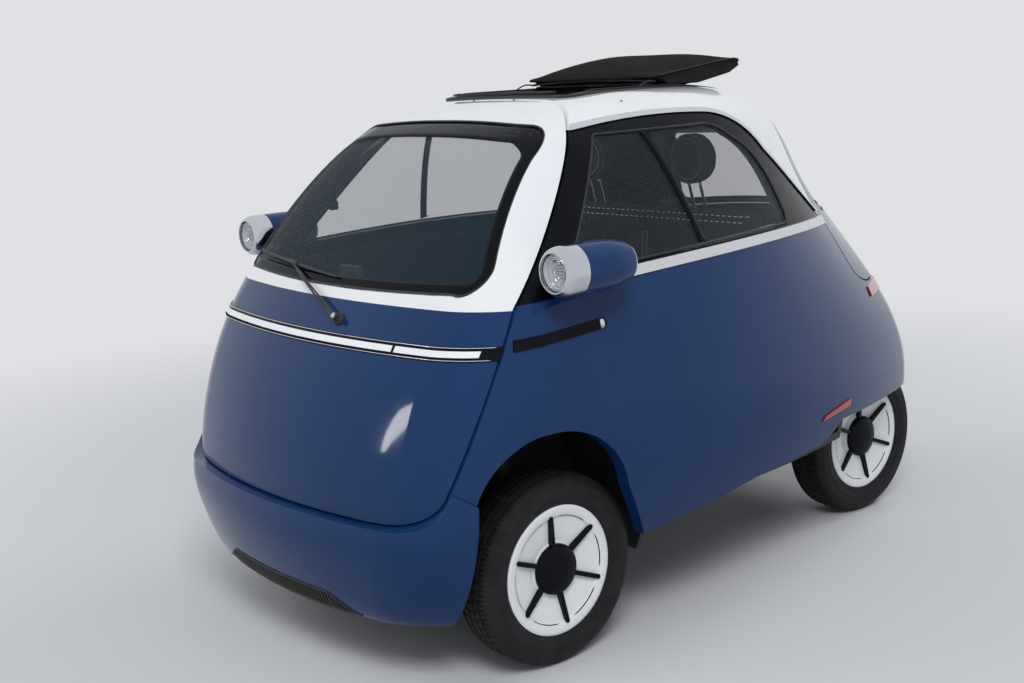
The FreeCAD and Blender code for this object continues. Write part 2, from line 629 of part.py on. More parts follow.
half_rim = S["rim_width"] * 0.5
flange_in = half_rim - S["flange_width"]
half_tyre = S["tyre_width"] * 0.5
half_tread = S["tread_width"] * 0.5
gap = S["running_gap"]
radius = S["tyre_radius"]
TYRE_PROFILE = [
    (-flange_in + gap, S["bead_radius"] + gap), (flange_in - gap, S["bead_radius"] + gap),
    (flange_in - gap, S["flange_radius"] + 1), (half_rim + 2, S["flange_radius"] + 7),
    (half_tyre, radius - 50), (half_tyre - 4, radius - 24), (half_tread, radius - 3), (half_tread - 34, radius),
    (-half_tread + 34, radius), (-half_tread, radius - 3), (-half_tyre + 4, radius - 24),
    (-half_tyre, radius - 50), (-half_rim - 2, S["flange_radius"] + 7), (-flange_in + gap, S["flange_radius"] + 1)]
rim_wall = S["rim_wall"]
bore = S["spindle_radius"] + gap
dish_back = half_rim - S["dish_depth"] - 6
RIM_PROFILE = [
    (half_rim, S["flange_radius"] - 6), (half_rim - 2, S["flange_radius"]), (flange_in, S["flange_radius"]),
    (flange_in, S["bead_radius"]), (-flange_in, S["bead_radius"]), (-flange_in, S["flange_radius"] - 3),
    (-half_rim, S["flange_radius"] - 3), (-half_rim, S["bead_radius"] - rim_wall),
    (half_rim - 14, S["bead_radius"] - rim_wall), (half_rim - 15, S["dish_radius"] + 1), (dish_back, S["cap_radius"] + 10),
    (dish_back, S["hub_radius"]), (-26, S["hub_radius"]), (-26, bore), (half_rim - 10, bore),
    (half_rim - S["dish_depth"], S["cap_radius"] + 8), (half_rim - 9, S["dish_radius"] - 3),
    (half_rim - 4, S["dish_radius"] + 3), (half_rim - 1, S["dish_radius"] + 12)]


def turned_body(label, profile, centre, faces_left):
    """Body turned about its own X axis from a sketch whose corners follow the spreadsheet."""
    body = doc.addObject("PartDesign::Body", label)
    sketch = body.newObject("Sketcher::SketchObject", label + "_profile")
    plane = [feature for feature in body.Origin.OriginFeatures if feature.Role == "XY_Plane"][0]
    sketch.AttachmentSupport = (plane, "")
    sketch.MapMode = "FlatFace"
    corners = [V(float(x), float(r), 0) for x, r in profile]
    count = len(corners)
    for i in range(count):
        sketch.addGeometry(Part.LineSegment(corners[i], corners[(i + 1) % count]))
    for i in range(count):
        sketch.addConstraint(Sketcher.Constraint("Coincident", i, 2, (i + 1) % count, 1))
    for i, corner in enumerate(profile):
        for kind, size in zip(("DistanceX", "DistanceY"), corner):
            index = sketch.addConstraint(Sketcher.Constraint(kind, -1, 1, i, 1, float(size)))
            sketch.setExpression("Constraints[%d]" % index, wording(size))
    revolution = body.newObject("PartDesign::Revolution", label + "_turned")
    revolution.Profile = sketch
    revolution.ReferenceAxis = (sketch, ["H_Axis"])
    revolution.Angle = 360
    body.Tip = revolution
    place_wheel(body, centre, faces_left)
    return keep(label, body)


def place_wheel(thing, centre, faces_left):
    thing.Placement = FreeCAD.Placement(V(0, 0, 0), FreeCAD.Rotation(V(0, 0, 1), 0 if faces_left else 180))
    for axis, size in zip("xyz", centre):
        thing.setExpression(".Placement.Base." + axis, wording(size))


def star_shape():
    """Domed cap with six round-ended bars that lie on the wheel disc."""
    face = N["rim_width"] / 2
    cap_radius = N["cap_radius"]
    cap = turned([(face - 36, 0), (face - 36, cap_radius), (face - 15, cap_radius), (face - 9, cap_radius - 2),
                  (face - 5, cap_radius - 6), (face - 2, cap_radius - 13), (face + 1, cap_radius - 24),
                  (face + 4, cap_radius - 42), (face + 5, 0)], V(0, 0, 0), V(1, 0, 0))
    pieces = [cap]
    half = N["spoke_width"] / 2
    spoke_end = N["spoke_length"] - half
    lowest = face - N["dish_depth"] - 6
    spoke_side = outline("xz", [(lowest, 30), (face - 12, 30), (face - 9, cap_radius), (face + 1, spoke_end + half),
                                (lowest, spoke_end + half)])
    for step_number in range(6):
        rib = prism(spoke_side, V(0, -half, 0), V(0, 2 * half, 0))
        tip = rod(V(lowest, 0, spoke_end), V(face + 10, 0, spoke_end), half)
        inward = block(lowest, face + 10, -half, half, 0, spoke_end)
        spoke = rib.common(tip.fuse(inward))
        spoke.rotate(V(0, 0, 0), V(1, 0, 0), 60 * step_number + 8)
        pieces.append(spoke)
    star = pieces[0].multiFuse(pieces[1:])
    spindle = rod(V(-100, 0, 0), V(face - 12, 0, 0), N["spindle_radius"] + 2)
    return star.cut(spindle)


WHEELS = [("fl", S["front_half_track"], S["front_axle_y"], True), ("fr", -S["front_half_track"], S["front_axle_y"], False),
          ("rl", S["rear_half_track"], S["rear_axle_y"], True), ("rr", -S["rear_half_track"], S["rear_axle_y"], False)]
rims = []
for name, x, y, faces_left in WHEELS:
    centre = (x, y, S["tyre_radius"])
    turned_body("tyre_" + name, TYRE_PROFILE, centre, faces_left)
    rims.append(turned_body("rim_" + name, RIM_PROFILE, centre, faces_left))
doc.recompute()
plain_rim = rims[0].Tip.Shape
star = star_shape().cut(plain_rim)
for name, x, y, faces_left in WHEELS:
    feature = panel("wheel_star_" + name, max(star.Solids, key=lambda solid: solid.Volume))
    place_wheel(feature, (x, y, S["tyre_radius"]), faces_left)

# Lamp pods with mirrors

lamp_y = N["lamp_front_y"]
lamp_r = N["lamp_radius"]
lamp_l = N["lamp_length"]
LAMP_RING = 66
lamp_axis = V(0, 1, 0)
lamp_at = V(N["lamp_x"], lamp_y, N["lamp_z"])
ring = turned([(0, lamp_r - 14), (6, lamp_r - 8), (24, lamp_r - 1), (40, lamp_r), (LAMP_RING, lamp_r),
               (LAMP_RING, lamp_r - 10), (22, lamp_r - 10), (14, lamp_r - 17), (4, lamp_r - 18)], lamp_at, lamp_axis)
shell = turned([(LAMP_RING + 0.3, 0), (LAMP_RING + 0.3, lamp_r - 1), (170, lamp_r - 1), (214, lamp_r - 6),
                (lamp_l - 12, lamp_r - 14), (lamp_l - 3, lamp_r - 18), (lamp_l - 3, lamp_r - 20), (lamp_l - 6, lamp_r - 20),
                (lamp_l - 6, 0)], lamp_at, lamp_axis)
stem = rod(V(560, lamp_y + 110, N["lamp_z"] - 14), V(N["lamp_x"], lamp_y + 110, N["lamp_z"] - 14), 19)
stem = stem.cut(skin(-N["running_gap"]))
lens = turned([(5, 0), (9, lamp_r - 22), (12, lamp_r - 18.4), (21.5, lamp_r - 18.4), (21.5, 0)], lamp_at, lamp_axis)
reflector = turned([(22.2, 0), (22.2, lamp_r - 10.4), (LAMP_RING, lamp_r - 10.4), (LAMP_RING, 0)], lamp_at, lamp_axis)
mirror = turned([(lamp_l - 5.7, 0), (lamp_l - 5.7, lamp_r - 20.4), (lamp_l - 2.5, lamp_r - 20.4), (lamp_l - 2.5, 0)],
                lamp_at, lamp_axis)
panel("lamp_rings", both_sides(ring, reflector))
panel("lamp_shells", both_sides(shell.fuse(stem)))
panel("lamp_lenses", both_sides(lens))
panel("mirror_glasses", both_sides(mirror))

# Roof opening: frame and folded-back fabric

FRAME_TOP = 1497
frame_outer = rounded(ROOF_HOLE[0] - N["seam"], ROOF_HOLE[1] + N["seam"], ROOF_HOLE[2] - N["seam"],
                      ROOF_HOLE[3], 1440, FRAME_TOP)
frame_hole = rounded(ROOF_HOLE[0] - 32, ROOF_HOLE[1] + 32, ROOF_HOLE[2] - 32, ROOF_HOLE[3] - 32, 1400, 1600)
panel("sunroof_frame", frame_outer.cut(frame_hole))
fabric = prism(outline("yz", [
    (37, 1530), (60, 1512), (110, FRAME_TOP + 0.4), (400, FRAME_TOP + 0.4), (448, 1512, 462, 1548),
    (452, 1584, 420, 1590), (250, 1590, 37, 1530)]), V(-300, 0, 0), V(600, 0, 0))
panel("sunroof_canopy", fabric)

# Cabin: bench, headrests, steering

seat = rounded(470, -130, 330, 60, N["floor_top"] + 0.4, 590)
panel("seat_base", seat)
back = prism(outline("yz", [(235, 590.4), (330, 590.4), (372, 1060), (366, 1092, 335, 1104), (290, 1098, 268, 1060)]),
             V(-455, 0, 0), V(910, 0, 0))
panel("seat_back", back)
HEADREST = V(235, 262, 1262)
pad = rod(HEADREST - V(0, N["headrest_width"] / 2, 0), HEADREST + V(0, N["headrest_width"] / 2, 0),
          N["headrest_radius"])
posts = [rod(V(HEADREST.x + dx, 318, 1096), V(HEADREST.x + dx, HEADREST.y, HEADREST.z - 40), 6) for dx in (-24, 24)]
above_back = back.copy()
above_back.translate(V(0, 0, N["seam"]))
panel("headrests", both_sides(pad.multiFuse(posts).cut(above_back)))

COLUMN_TOP = V(N["column_x"], -500, 850)
COLUMN_AXIS = V(0, 0.86, 0.51)
COLUMN_AXIS.normalize()
reach = (COLUMN_TOP.y + 1079.6) / COLUMN_AXIS.y
column = rod(COLUMN_TOP - COLUMN_AXIS * (reach + 30), COLUMN_TOP, N["column_radius"])
column = column.cut(block(-900, 900, -1400, -1079.6, 0, 1600))
panel("steering_column", column)
wheel_centre = COLUMN_TOP + COLUMN_AXIS * 62
rim_ring = Part.makeTorus(N["steering_wheel_radius"], N["steering_rim_radius"], wheel_centre, COLUMN_AXIS)
hub = rod(COLUMN_TOP + COLUMN_AXIS * 0.5, COLUMN_TOP + COLUMN_AXIS * 58, 45)
spoke_x = rod(wheel_centre - V(N["steering_wheel_radius"], 0, 0) - COLUMN_AXIS * 22,
              wheel_centre + V(N["steering_wheel_radius"], 0, 0) - COLUMN_AXIS * 22, 9)
down = V(1, 0, 0).cross(COLUMN_AXIS)
spoke_down = rod(wheel_centre - COLUMN_AXIS * 22, wheel_centre - COLUMN_AXIS * 8 + down * N["steering_wheel_radius"], 9)
links = [rod(wheel_centre + V(sign * 150, 0, 0) - COLUMN_AXIS * 22, wheel_centre + V(sign * N["steering_wheel_radius"], 0, 0), 9)
         for sign in (-1, 1)]
panel("steering_wheel", rim_ring.multiFuse([hub, spoke_x, spoke_down] + links))

# Lower grille under the front bumper: a lip inside the bumper's foot with upright ribs

lip = lofted(BUMPER, N["wall"] + N["seam"], 30).cut(lofted(BUMPER, 56, 40))
lip = lip.common(block(-400, 400, -1300, -1000, 152, 214))
RIB_COUNT = 33
RIB_STEP = 24
foot = BUMPER[0]
bow_centre_y = foot.front + foot.bow
ribs = []
for i in range(RIB_COUNT):
    angle = (i - (RIB_COUNT - 1) / 2) * RIB_STEP / foot.bow
    rib = block(-3, 3, -foot.bow + 22, -foot.bow + 50, 152, 179)
    rib.Placement = FreeCAD.Placement(V(0, bow_centre_y, 0), FreeCAD.Rotation(V(0, 0, 1), math.degrees(angle)))
    ribs.append(rib)
panel("front_grille", lip.multiFuse(ribs))

# Finish: rebuild, test and write

doc.recompute()
for thing in doc.Objects:
    if "Invalid" in thing.State or "Error" in thing.State:
        raise RuntimeError("failed: " + thing.Name)
os.makedirs("parts", exist_ok=True)
for thing in nodes:
    shape = thing.Shape
    if shape.isNull() or not shape.isValid():
        raise RuntimeError("bad shape: " + thing.Label)
    shape.exportStep("parts/%s.step" % thing.Label)
    print("%-20s solids %2d volume %8.3f dm3" % (thing.Label, len(shape.Solids), shape.Volume / 1e6))
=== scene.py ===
import json
import math

import bmesh
import bpy
import numpy as np
from mathutils import Matrix, Vector
from mathutils.bvhtree import BVHTree


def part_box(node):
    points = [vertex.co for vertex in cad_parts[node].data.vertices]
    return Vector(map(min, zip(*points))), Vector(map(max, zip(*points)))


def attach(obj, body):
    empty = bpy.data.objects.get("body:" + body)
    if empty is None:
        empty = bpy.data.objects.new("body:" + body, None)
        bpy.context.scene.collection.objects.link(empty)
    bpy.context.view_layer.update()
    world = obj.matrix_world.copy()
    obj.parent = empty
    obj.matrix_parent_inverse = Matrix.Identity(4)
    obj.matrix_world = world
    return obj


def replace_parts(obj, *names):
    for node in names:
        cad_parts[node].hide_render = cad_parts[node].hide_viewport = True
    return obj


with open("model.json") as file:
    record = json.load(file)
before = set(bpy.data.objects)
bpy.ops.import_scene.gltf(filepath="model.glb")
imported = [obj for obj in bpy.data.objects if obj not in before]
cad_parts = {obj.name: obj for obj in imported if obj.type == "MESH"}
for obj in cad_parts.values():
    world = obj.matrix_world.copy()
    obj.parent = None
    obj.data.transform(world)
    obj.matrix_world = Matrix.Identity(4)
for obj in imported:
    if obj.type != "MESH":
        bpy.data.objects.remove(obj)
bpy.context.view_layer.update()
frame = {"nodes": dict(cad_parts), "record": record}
NODES = frame["nodes"]
SIDES = (("left", 1), ("right", -1))
TURN = 2 * math.pi


def vec(*numbers):
    return Vector(numbers)


def clamp(value):
    return min(max(value, 0), 1)


def ease(value):
    """Smooth step from 0 to 1."""
    t = clamp(value)
    return t * t * (3 - 2 * t)


def spread(start, end, steps):
    """Numbers at even steps from start to end, both included."""
    return [start + (end - start) * k / steps for k in range(steps + 1)]


def angles(count):
    """Even angles once round."""
    return [TURN * k / count for k in range(count)]


def box(name):
    return [Vector(corner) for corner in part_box(name)]


def placed(name, data):
    """Object in the scene for a mesh, a lamp or the camera."""
    thing = bpy.data.objects.new(name, data)
    bpy.context.collection.objects.link(thing)
    return thing


# Camera at the photograph's angle

CAMERA_AT = vec(3.2994, -3.0153, 1.5818)
VIEW = vec(-0.76059, 0.61941, -0.19449)
RIGHT = vec(0.63853, 0.76786, -0.05164)

camera_data = bpy.data.cameras.new("camera")
camera_data.lens = 48.94
camera_data.sensor_width = 36
camera_data.clip_start = 0.05
camera_data.clip_end = 100
camera = placed("camera", camera_data)
right = RIGHT.normalized()
back = (-VIEW).normalized()
up = back.cross(right).normalized()
camera.matrix_world = Matrix.Translation(CAMERA_AT) @ Matrix((right, up, back)).transposed().to_4x4()
bpy.context.scene.camera = camera


# Materials: every one is procedural, and is kept under its name

MATERIALS = {}


def fill(node, key, value):
    """Sets an input of a shader node, or links it where the value is another node's output."""
    if isinstance(value, bpy.types.NodeSocket):
        node.id_data.links.new(value, node.inputs[key])
    else:
        node.inputs[key].default_value = value


def put(node, *given, **values):
    """Fills a shader node: its first inputs in order, inputs by name (with a capital) and settings."""
    for index, value in enumerate(given):
        fill(node, index, value)
    for key, value in values.items():
        if key[0].isupper():
            fill(node, key.replace("_", " "), value)
        else:
            setattr(node, key, value)
    return node


def add(tree, kind, *given, **values):
    return put(tree.nodes.new("ShaderNode" + kind), *given, **values)


def maths(tree, operation, *given):
    return add(tree, "Math", *given, operation=operation).outputs[0]


def new_material(name, **values):
    material = bpy.data.materials.new(name)
    material.use_nodes = True
    tree = material.node_tree
    tree.nodes.clear()
    shader = add(tree, "BsdfPrincipled", **values)
    output = add(tree, "OutputMaterial", shader.outputs[0])
    MATERIALS[name] = material
    return material, tree, shader, output


def place(tree):
    return add(tree, "TexCoord").outputs["Object"]


def noise(tree, scale, detail=3.0, rough=0.5):
    return add(tree, "TexNoise", place(tree), Scale=scale, Detail=detail, Roughness=rough).outputs["Fac"]


def ramp(tree, value, low, high):
    """Colour between two tones, over the middle of a value's range."""
    node = add(tree, "ValToRGB", value)
    for element, position, colour in zip(node.color_ramp.elements, (0.35, 0.65), (low, high)):
        element.position = position
        element.color = (*colour, 1)
    return node.outputs[0]


def bump(tree, shader, height, strength, distance):
    put(shader, Normal=add(tree, "Bump", Strength=strength, Distance=distance, Height=height).outputs[0])


def mottled(name, tones, patches, roughness, wear, grain=None, relief=None, **values):
    """Material whose tone and roughness vary over noise, with a fine grain where one is given."""
    material, tree, shader, output = new_material(name, **values)
    low, high = roughness
    put(shader, Base_Color=ramp(tree, noise(tree, *patches), *tones),
        Roughness=add(tree, "MapRange", noise(tree, *wear), To_Min=low, To_Max=high).outputs[0])
    if grain:
        bump(tree, shader, noise(tree, *grain), *relief)
    return material


def paint(name, colour, deeper, roughness=0.12, coat=1.0, coat_index=1.5, level=0.15):
    """Lacquered sheet: slight orange peel, slight tone change and a clear coat."""
    return mottled(name, (deeper, colour), (3.0,), (roughness * 0.7, roughness * 1.4), (9.0, 4.0),
                   (350.0, 1.0), (0.02, 0.0003), Specular_IOR_Level=level, Coat_Weight=coat,
                   Coat_IOR=coat_index, Coat_Roughness=0.05)


def lined(material):
    """Turns the faces of a painted panel that look into the cabin into dark lining."""
    tree = material.node_tree
    shader = tree.nodes["Principled BSDF"]
    coordinates = add(tree, "TexCoord").outputs
    offset = add(tree, "VectorMath", coordinates["Object"], (0, 0, 0.75), operation="SUBTRACT")
    upper = add(tree, "VectorMath", offset.outputs[0], (-9, -9, 0), operation="MAXIMUM")
    facing = add(tree, "VectorMath", upper.outputs[0], coordinates["Normal"], operation="DOT_PRODUCT")
    inward = add(tree, "MapRange", facing.outputs["Value"], -0.01, -0.04).outputs[0]
    colour, roughness = (shader.inputs[key].links[0].from_socket for key in ("Base Color", "Roughness"))
    dark = ramp(tree, noise(tree, 60.0, 4.0), (0.010, 0.010, 0.011), (0.018, 0.018, 0.020))
    put(shader, Base_Color=add(tree, "MixRGB", inward, colour, dark).outputs[0],
        Roughness=maths(tree, "MULTIPLY_ADD", inward, 0.6, roughness))
    return material


def plastic(name, colour, lighter, roughness=0.5, grain=900.0, depth=0.0002, level=0.5):
    """Moulded plastic with a fine grain."""
    return mottled(name, (colour, lighter), (14.0, 4.0), (roughness * 0.8, roughness * 1.2), (40.0,),
                   (grain, 2.0), (0.3, depth), Specular_IOR_Level=level)


def metal(name, colour, darker, roughness, grain=60.0):
    """Bare or plated metal with faint marks."""
    return mottled(name, (darker, colour), (grain, 5.0, 0.6), (roughness * 0.7, roughness * 1.4),
                   (grain * 2,), Metallic=1.0)


def glass(name, colour, alpha, roughness=0.02):
    """Thin pane: mostly see-through, with its tint and a clear reflection."""
    return mottled(name, (colour, [c * 1.04 for c in colour]), (2.0,), (roughness * 0.5, roughness * 1.5),
                   (6.0,), Alpha=alpha, IOR=1.5, Coat_Weight=0.25, Coat_Roughness=0.02)


def rubber(name, colour, lighter):
    return mottled(name, (colour, lighter), (30.0, 5.0), (0.55, 0.8), (50.0, 4.0), (600.0, 2.0),
                   (0.3, 0.0003), Specular_IOR_Level=0.3)


def cloth(name, colour, lighter, scale=700.0, depth=0.0006, sheen=0.2):
    """Woven fabric: crossed sets of threads."""
    material = mottled(name, (colour, lighter), (25.0, 4.0), (0.75, 0.95), (60.0,), Sheen_Weight=sheen,
                       Specular_IOR_Level=0.0)
    tree = material.node_tree
    threads = [add(tree, "TexWave", place(tree), Scale=scale, Distortion=1.0,
                   bands_direction=axis).outputs["Fac"]
               for axis in "XYZ"]
    height = maths(tree, "ADD", maths(tree, "ADD", *threads[:2]), threads[2])
    bump(tree, tree.nodes["Principled BSDF"], height, 0.25, depth)
    return material


BLUE = ((0.0050, 0.0330, 0.1180), (0.0043, 0.0295, 0.1070), 0.12, 0.6, 1.38, 0.05)
WHITE = ((0.80, 0.82, 0.84), (0.76, 0.78, 0.81))
paint("blue_paint", *BLUE)
paint("white_paint", *WHITE)
paint("gloss_black", (0.0035, 0.0045, 0.0065), (0.0028, 0.0036, 0.0055), 0.15, 0.18, 1.35, 0.05)
paint("lamp_white", (0.82, 0.85, 0.88), (0.78, 0.81, 0.85), 0.2)
paint("lamp_red", (0.42, 0.012, 0.015), (0.36, 0.008, 0.012), 0.2)
paint("wheel_white", (0.78, 0.79, 0.80), (0.74, 0.75, 0.77), 0.18)
metal("silver_trim", (0.74, 0.76, 0.80), (0.71, 0.73, 0.77), 0.22, 4.0)
metal("chrome", (0.64, 0.66, 0.70), (0.60, 0.62, 0.66), 0.06, 8.0)
metal("mirror", (0.86, 0.88, 0.90), (0.84, 0.86, 0.88), 0.03)
metal("steel", (0.50, 0.51, 0.53), (0.42, 0.43, 0.45), 0.35)
plastic("black_plastic", (0.012, 0.012, 0.014), (0.022, 0.022, 0.025))
plastic("chassis", (0.016, 0.016, 0.018), (0.026, 0.026, 0.028), 0.6, 200.0, 0.0004)
# Painted shade: the grille face between the ribs is a darker copy of black plastic
plastic("grille_gap", (0.004, 0.004, 0.0045), (0.006, 0.006, 0.007), 0.8, level=0.05)
# Painted light: the grille ribs are a lighter copy of black plastic, standing for their lit faces
plastic("grille_rib_painted_light", (0.060, 0.058, 0.050), (0.080, 0.077, 0.068), 0.6, level=0.3)
plastic("thread", (0.62, 0.64, 0.66), (0.72, 0.74, 0.76), 0.6)
glass("tinted_glass", (0.020, 0.032, 0.046), 0.20)
glass("clear_glass", (0.035, 0.075, 0.120), 0.15)
rubber("tyre", (0.0070, 0.0070, 0.0078), (0.0130, 0.0130, 0.0140))
cloth("seat_cloth", (0.014, 0.015, 0.018), (0.022, 0.023, 0.027), 420.0, 0.0003, 0.04)
cloth("roof_cloth", (0.0160, 0.0158, 0.0150), (0.0210, 0.0207, 0.0197), sheen=0.03)

PANEL_PAINT = {"blue_paint": lined(paint("blue_panel", *BLUE)),
               "white_paint": lined(paint("white_panel", *WHITE))}
UNLINED = ("lamp_shells", "front_bumper", "rear_bumper")
slots = {row["node"]: row["material_slot"] for row in frame["record"]["subparts"]}
for name, node in NODES.items():
    choice = MATERIALS if name in UNLINED else {**MATERIALS, **PANEL_PAINT}
    node.data.materials.clear()
    node.data.materials.append(choice[slots[name]])


# Studio: pale floor and backdrop, soft lights

PALE = (0.74, 0.75, 0.77, 1)


def seen(tree):
    """1 for rays that show the surroundings: straight from the camera, mirrored or through glass."""
    rays = add(tree, "LightPath").outputs
    direct = maths(tree, "MAXIMUM", rays["Is Camera Ray"], rays["Is Transmission Ray"])
    return maths(tree, "MAXIMUM", direct, rays["Is Glossy Ray"])


def stage_material():
    """Matt floor that fades into the background's own tone away from the object."""
    material, tree, shader, output = new_material("studio_floor", Base_Color=(0.62, 0.63, 0.65, 1),
                                                  Roughness=0.95)
    length = add(tree, "VectorMath", place(tree), operation="LENGTH").outputs["Value"]
    fade = add(tree, "MapRange", length, 1.6, 5.5, interpolation_type="SMOOTHERSTEP").outputs[0]
    glow = add(tree, "Emission", PALE, 1.0).outputs[0]
    share = maths(tree, "MULTIPLY", fade, seen(tree))
    put(output, add(tree, "MixShader", share, shader.outputs[0], glow).outputs[0])
    return material


FLOOR_HALF = 40
floor_mesh = bpy.data.meshes.new("studio_floor")
corners = [(x * FLOOR_HALF, y * FLOOR_HALF, 0) for x, y in ((-1, -1), (1, -1), (1, 1), (-1, 1))]
floor_mesh.from_pydata(corners, [], [(0, 1, 2, 3)])
floor = placed("studio_floor", floor_mesh)
floor.data.materials.append(stage_material())

world = bpy.data.worlds.new("studio")
bpy.context.scene.world = world
world.use_nodes = True
world.node_tree.nodes.clear()
sky = add(world.node_tree, "Background", (0.90, 0.94, 1.0, 1), 0.42).outputs[0]
backdrop = add(world.node_tree, "Background", PALE, 1.0).outputs[0]
both = add(world.node_tree, "MixShader", seen(world.node_tree), sky, backdrop)
add(world.node_tree, "OutputWorld", both.outputs[0])


def area_light(name, at, look_at, size, power, mirrored=False):
    data = bpy.data.lights.new(name, "AREA")
    data.shape = "ELLIPSE" if mirrored else "RECTANGLE"
    data.size, data.size_y = size
    data.energy = power
    light = placed(name, data)
    light.location = at
    light.rotation_euler = (Vector(look_at) - Vector(at)).to_track_quat("-Z", "Y").to_euler()
    light.visible_glossy = mirrored


area_light("key", (4.5, -3.5, 5.5), (0, 0, 0.6), (2.6, 2.6), 285)
area_light("glint", (-2.07, -5.20, 2.02), (0.48, -1.10, 0.72), (0.28, 1.10), 15, mirrored=True)
area_light("fill", (-4.5, -3.0, 3.0), (0, 0, 0.7), (3.0, 2.4), 70)
area_light("rim", (0.5, 5.0, 4.0), (0, 0, 0.8), (3.0, 1.6), 110)

bpy.context.scene.view_settings.view_transform = "Standard"


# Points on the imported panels, to lay trims on

AIM = {
    "front": lambda u, v: (vec(u, -3, v), vec(0, 1, 0)),
    "rear": lambda u, v: (vec(u, 3, v), vec(0, -1, 0)),
    "left": lambda u, v: (vec(3, u, v), vec(-1, 0, 0)),
    "right": lambda u, v: (vec(-3, u, v), vec(1, 0, 0)),
    "top": lambda u, v: (vec(u, v, 3), vec(0, 0, -1)),
}


def tree_of(piece):
    mesh = piece.data
    return BVHTree.FromPolygons([v.co.copy() for v in mesh.vertices],
                                [list(p.vertices) for p in mesh.polygons])


def surface(name):
    return tree_of(NODES[name])


def landed(tree, side, u, v, lift=0.0):
    """Point of a surface seen from one side at (u, v), raised along the surface's normal."""
    origin, direction = AIM[side](u, v)
    hit, normal = tree.ray_cast(origin, direction)[:2]
    if hit is None:
        hit, normal = tree.find_nearest(origin + direction * 2.4)[:2]
    if normal.dot(direction) > 0:
        normal = -normal
    return hit + normal * lift, normal


# Lines of points

def walk(line, targets):
    """Segment and share of it at growing distances along a line. targets gives them for the line's length."""
    reached = [0.0]
    for a, b in zip(line, line[1:]):
        reached.append(reached[-1] + (b - a).length)
    segment = 0
    places = []
    for target in targets(reached[-1]):
        while segment < len(line) - 2 and reached[segment + 1] < target:
            segment += 1
        step = max(reached[segment + 1] - reached[segment], 1e-9)
        places.append((segment, (target - reached[segment]) / step))
    return places


def even_points(points, count):
    """A number of points at even steps round a closed line."""
    line = [Vector(point) for point in points]
    line.append(line[0])
    places = walk(line, lambda total: [total * i / count for i in range(count)])
    return [line[segment].lerp(line[segment + 1], share) for segment, share in places]


def heading(points, i, closed):
    """Direction of a line at one of its points."""
    before = points[i - 1] if closed or i > 0 else points[i]
    after = points[(i + 1) % len(points)] if closed or i < len(points) - 1 else points[i]
    return (after - before).normalized()


def offset_line(points, distance, closed=True):
    """Line moved to its left by a distance, which may be a function of the point."""
    result = []
    for i, point in enumerate(points):
        along = heading(points, i, closed)
        amount = distance(point) if callable(distance) else distance
        result.append(point + vec(-along.y, along.x) * amount)
    return result


def smooth_line(knots, count):
    """Points at even steps of a smooth curve through a few knots."""
    knots = [Vector(knot) for knot in knots]
    result = []
    for t in spread(0, len(knots) - 1, count - 1):
        k = min(int(t), len(knots) - 2)
        t -= k
        before = knots[max(k - 1, 0)]
        after = knots[min(k + 2, len(knots) - 1)]
        a, b = knots[k], knots[k + 1]
        result.append(0.5 * ((2 * a) + (b - before) * t + (2 * before - 5 * a + 4 * b - after) * t * t
                             + (3 * a - before - 3 * b + after) * t * t * t))
    return result


def rounded_rectangle(low, high, radius, steps=8):
    (x0, y0), (x1, y1) = low, high
    centres = ((x1 - radius, y1 - radius), (x0 + radius, y1 - radius), (x0 + radius, y0 + radius),
               (x1 - radius, y0 + radius))
    return [vec(cx + radius * math.cos(a), cy + radius * math.sin(a))
            for quarter, (cx, cy) in enumerate(centres)
            for a in spread(quarter * TURN / 4, (quarter + 1) * TURN / 4, steps)]


def arc_through(a, middle, b, steps):
    """Points after a up to b on the arc through three points of a view."""
    ax, ay = a
    bx, by = middle
    cx, cy = b
    d = 2 * (ax * (by - cy) + bx * (cy - ay) + cx * (ay - by))
    aa, bb, cc = (x * x + y * y for x, y in (a, middle, b))
    ux = (aa * (by - cy) + bb * (cy - ay) + cc * (ay - by)) / d
    uy = (aa * (cx - bx) + bb * (ax - cx) + cc * (bx - ax)) / d
    radius = math.hypot(ax - ux, ay - uy)
    start = math.atan2(ay - uy, ax - ux)
    through = (math.atan2(by - uy, bx - ux) - start) % TURN
    end = (math.atan2(cy - uy, cx - ux) - start) % TURN
    if through > end:
        end -= TURN
    return [(ux + radius * math.cos(w), uy + radius * math.sin(w))
            for w in spread(start, start + end, steps)[1:]]


def outline(points, steps=12):
    """Line in metres from points in millimetres: a pair is a corner, four numbers an arc to its end."""
    here = points[0]
    line = [Vector(here) / 1000]
    for point in points[1:]:
        arc = arc_through(here, point[:2], point[2:], steps) if len(point) == 4 else [point]
        line += [Vector(p) / 1000 for p in arc]
        here = point[-2:]
    return line


def symmetric(half):
    """Full outline from its half, given from the lower middle to the upper middle."""
    corners = [tuple(point[-2:]) for point in half]
    points = list(half)
    for i in range(len(half) - 1, -1, -1):
        if i < len(half) - 1 and len(half[i + 1]) == 4:
            points.append((-half[i + 1][0], half[i + 1][1], -corners[i][0], corners[i][1]))
        elif corners[i][0] > 0:
            points.append((-corners[i][0], corners[i][1]))
    return points


# Pieces: a look is a material's name

def make_piece(name, vertices, faces, look, body="body", smooth=True):
    mesh = bpy.data.meshes.new(name)
    mesh.from_pydata([tuple(v) for v in vertices], [], faces)
    mesh.validate()
    mesh.update()
    mesh.polygons.foreach_set("use_smooth", [smooth] * len(mesh.polygons))
    piece = placed(name, mesh)
    piece.data.materials.append(MATERIALS[look])
    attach(piece, body)
    return piece


def mend(piece, merge=False):
    """Turns all faces outward, and first joins points that coincide where that is asked for."""
    builder = bmesh.new()
    builder.from_mesh(piece.data)
    if merge:
        bmesh.ops.remove_doubles(builder, verts=builder.verts, dist=1e-6)
    bmesh.ops.recalc_face_normals(builder, faces=builder.faces)
    builder.to_mesh(piece.data)
    builder.free()
    return piece


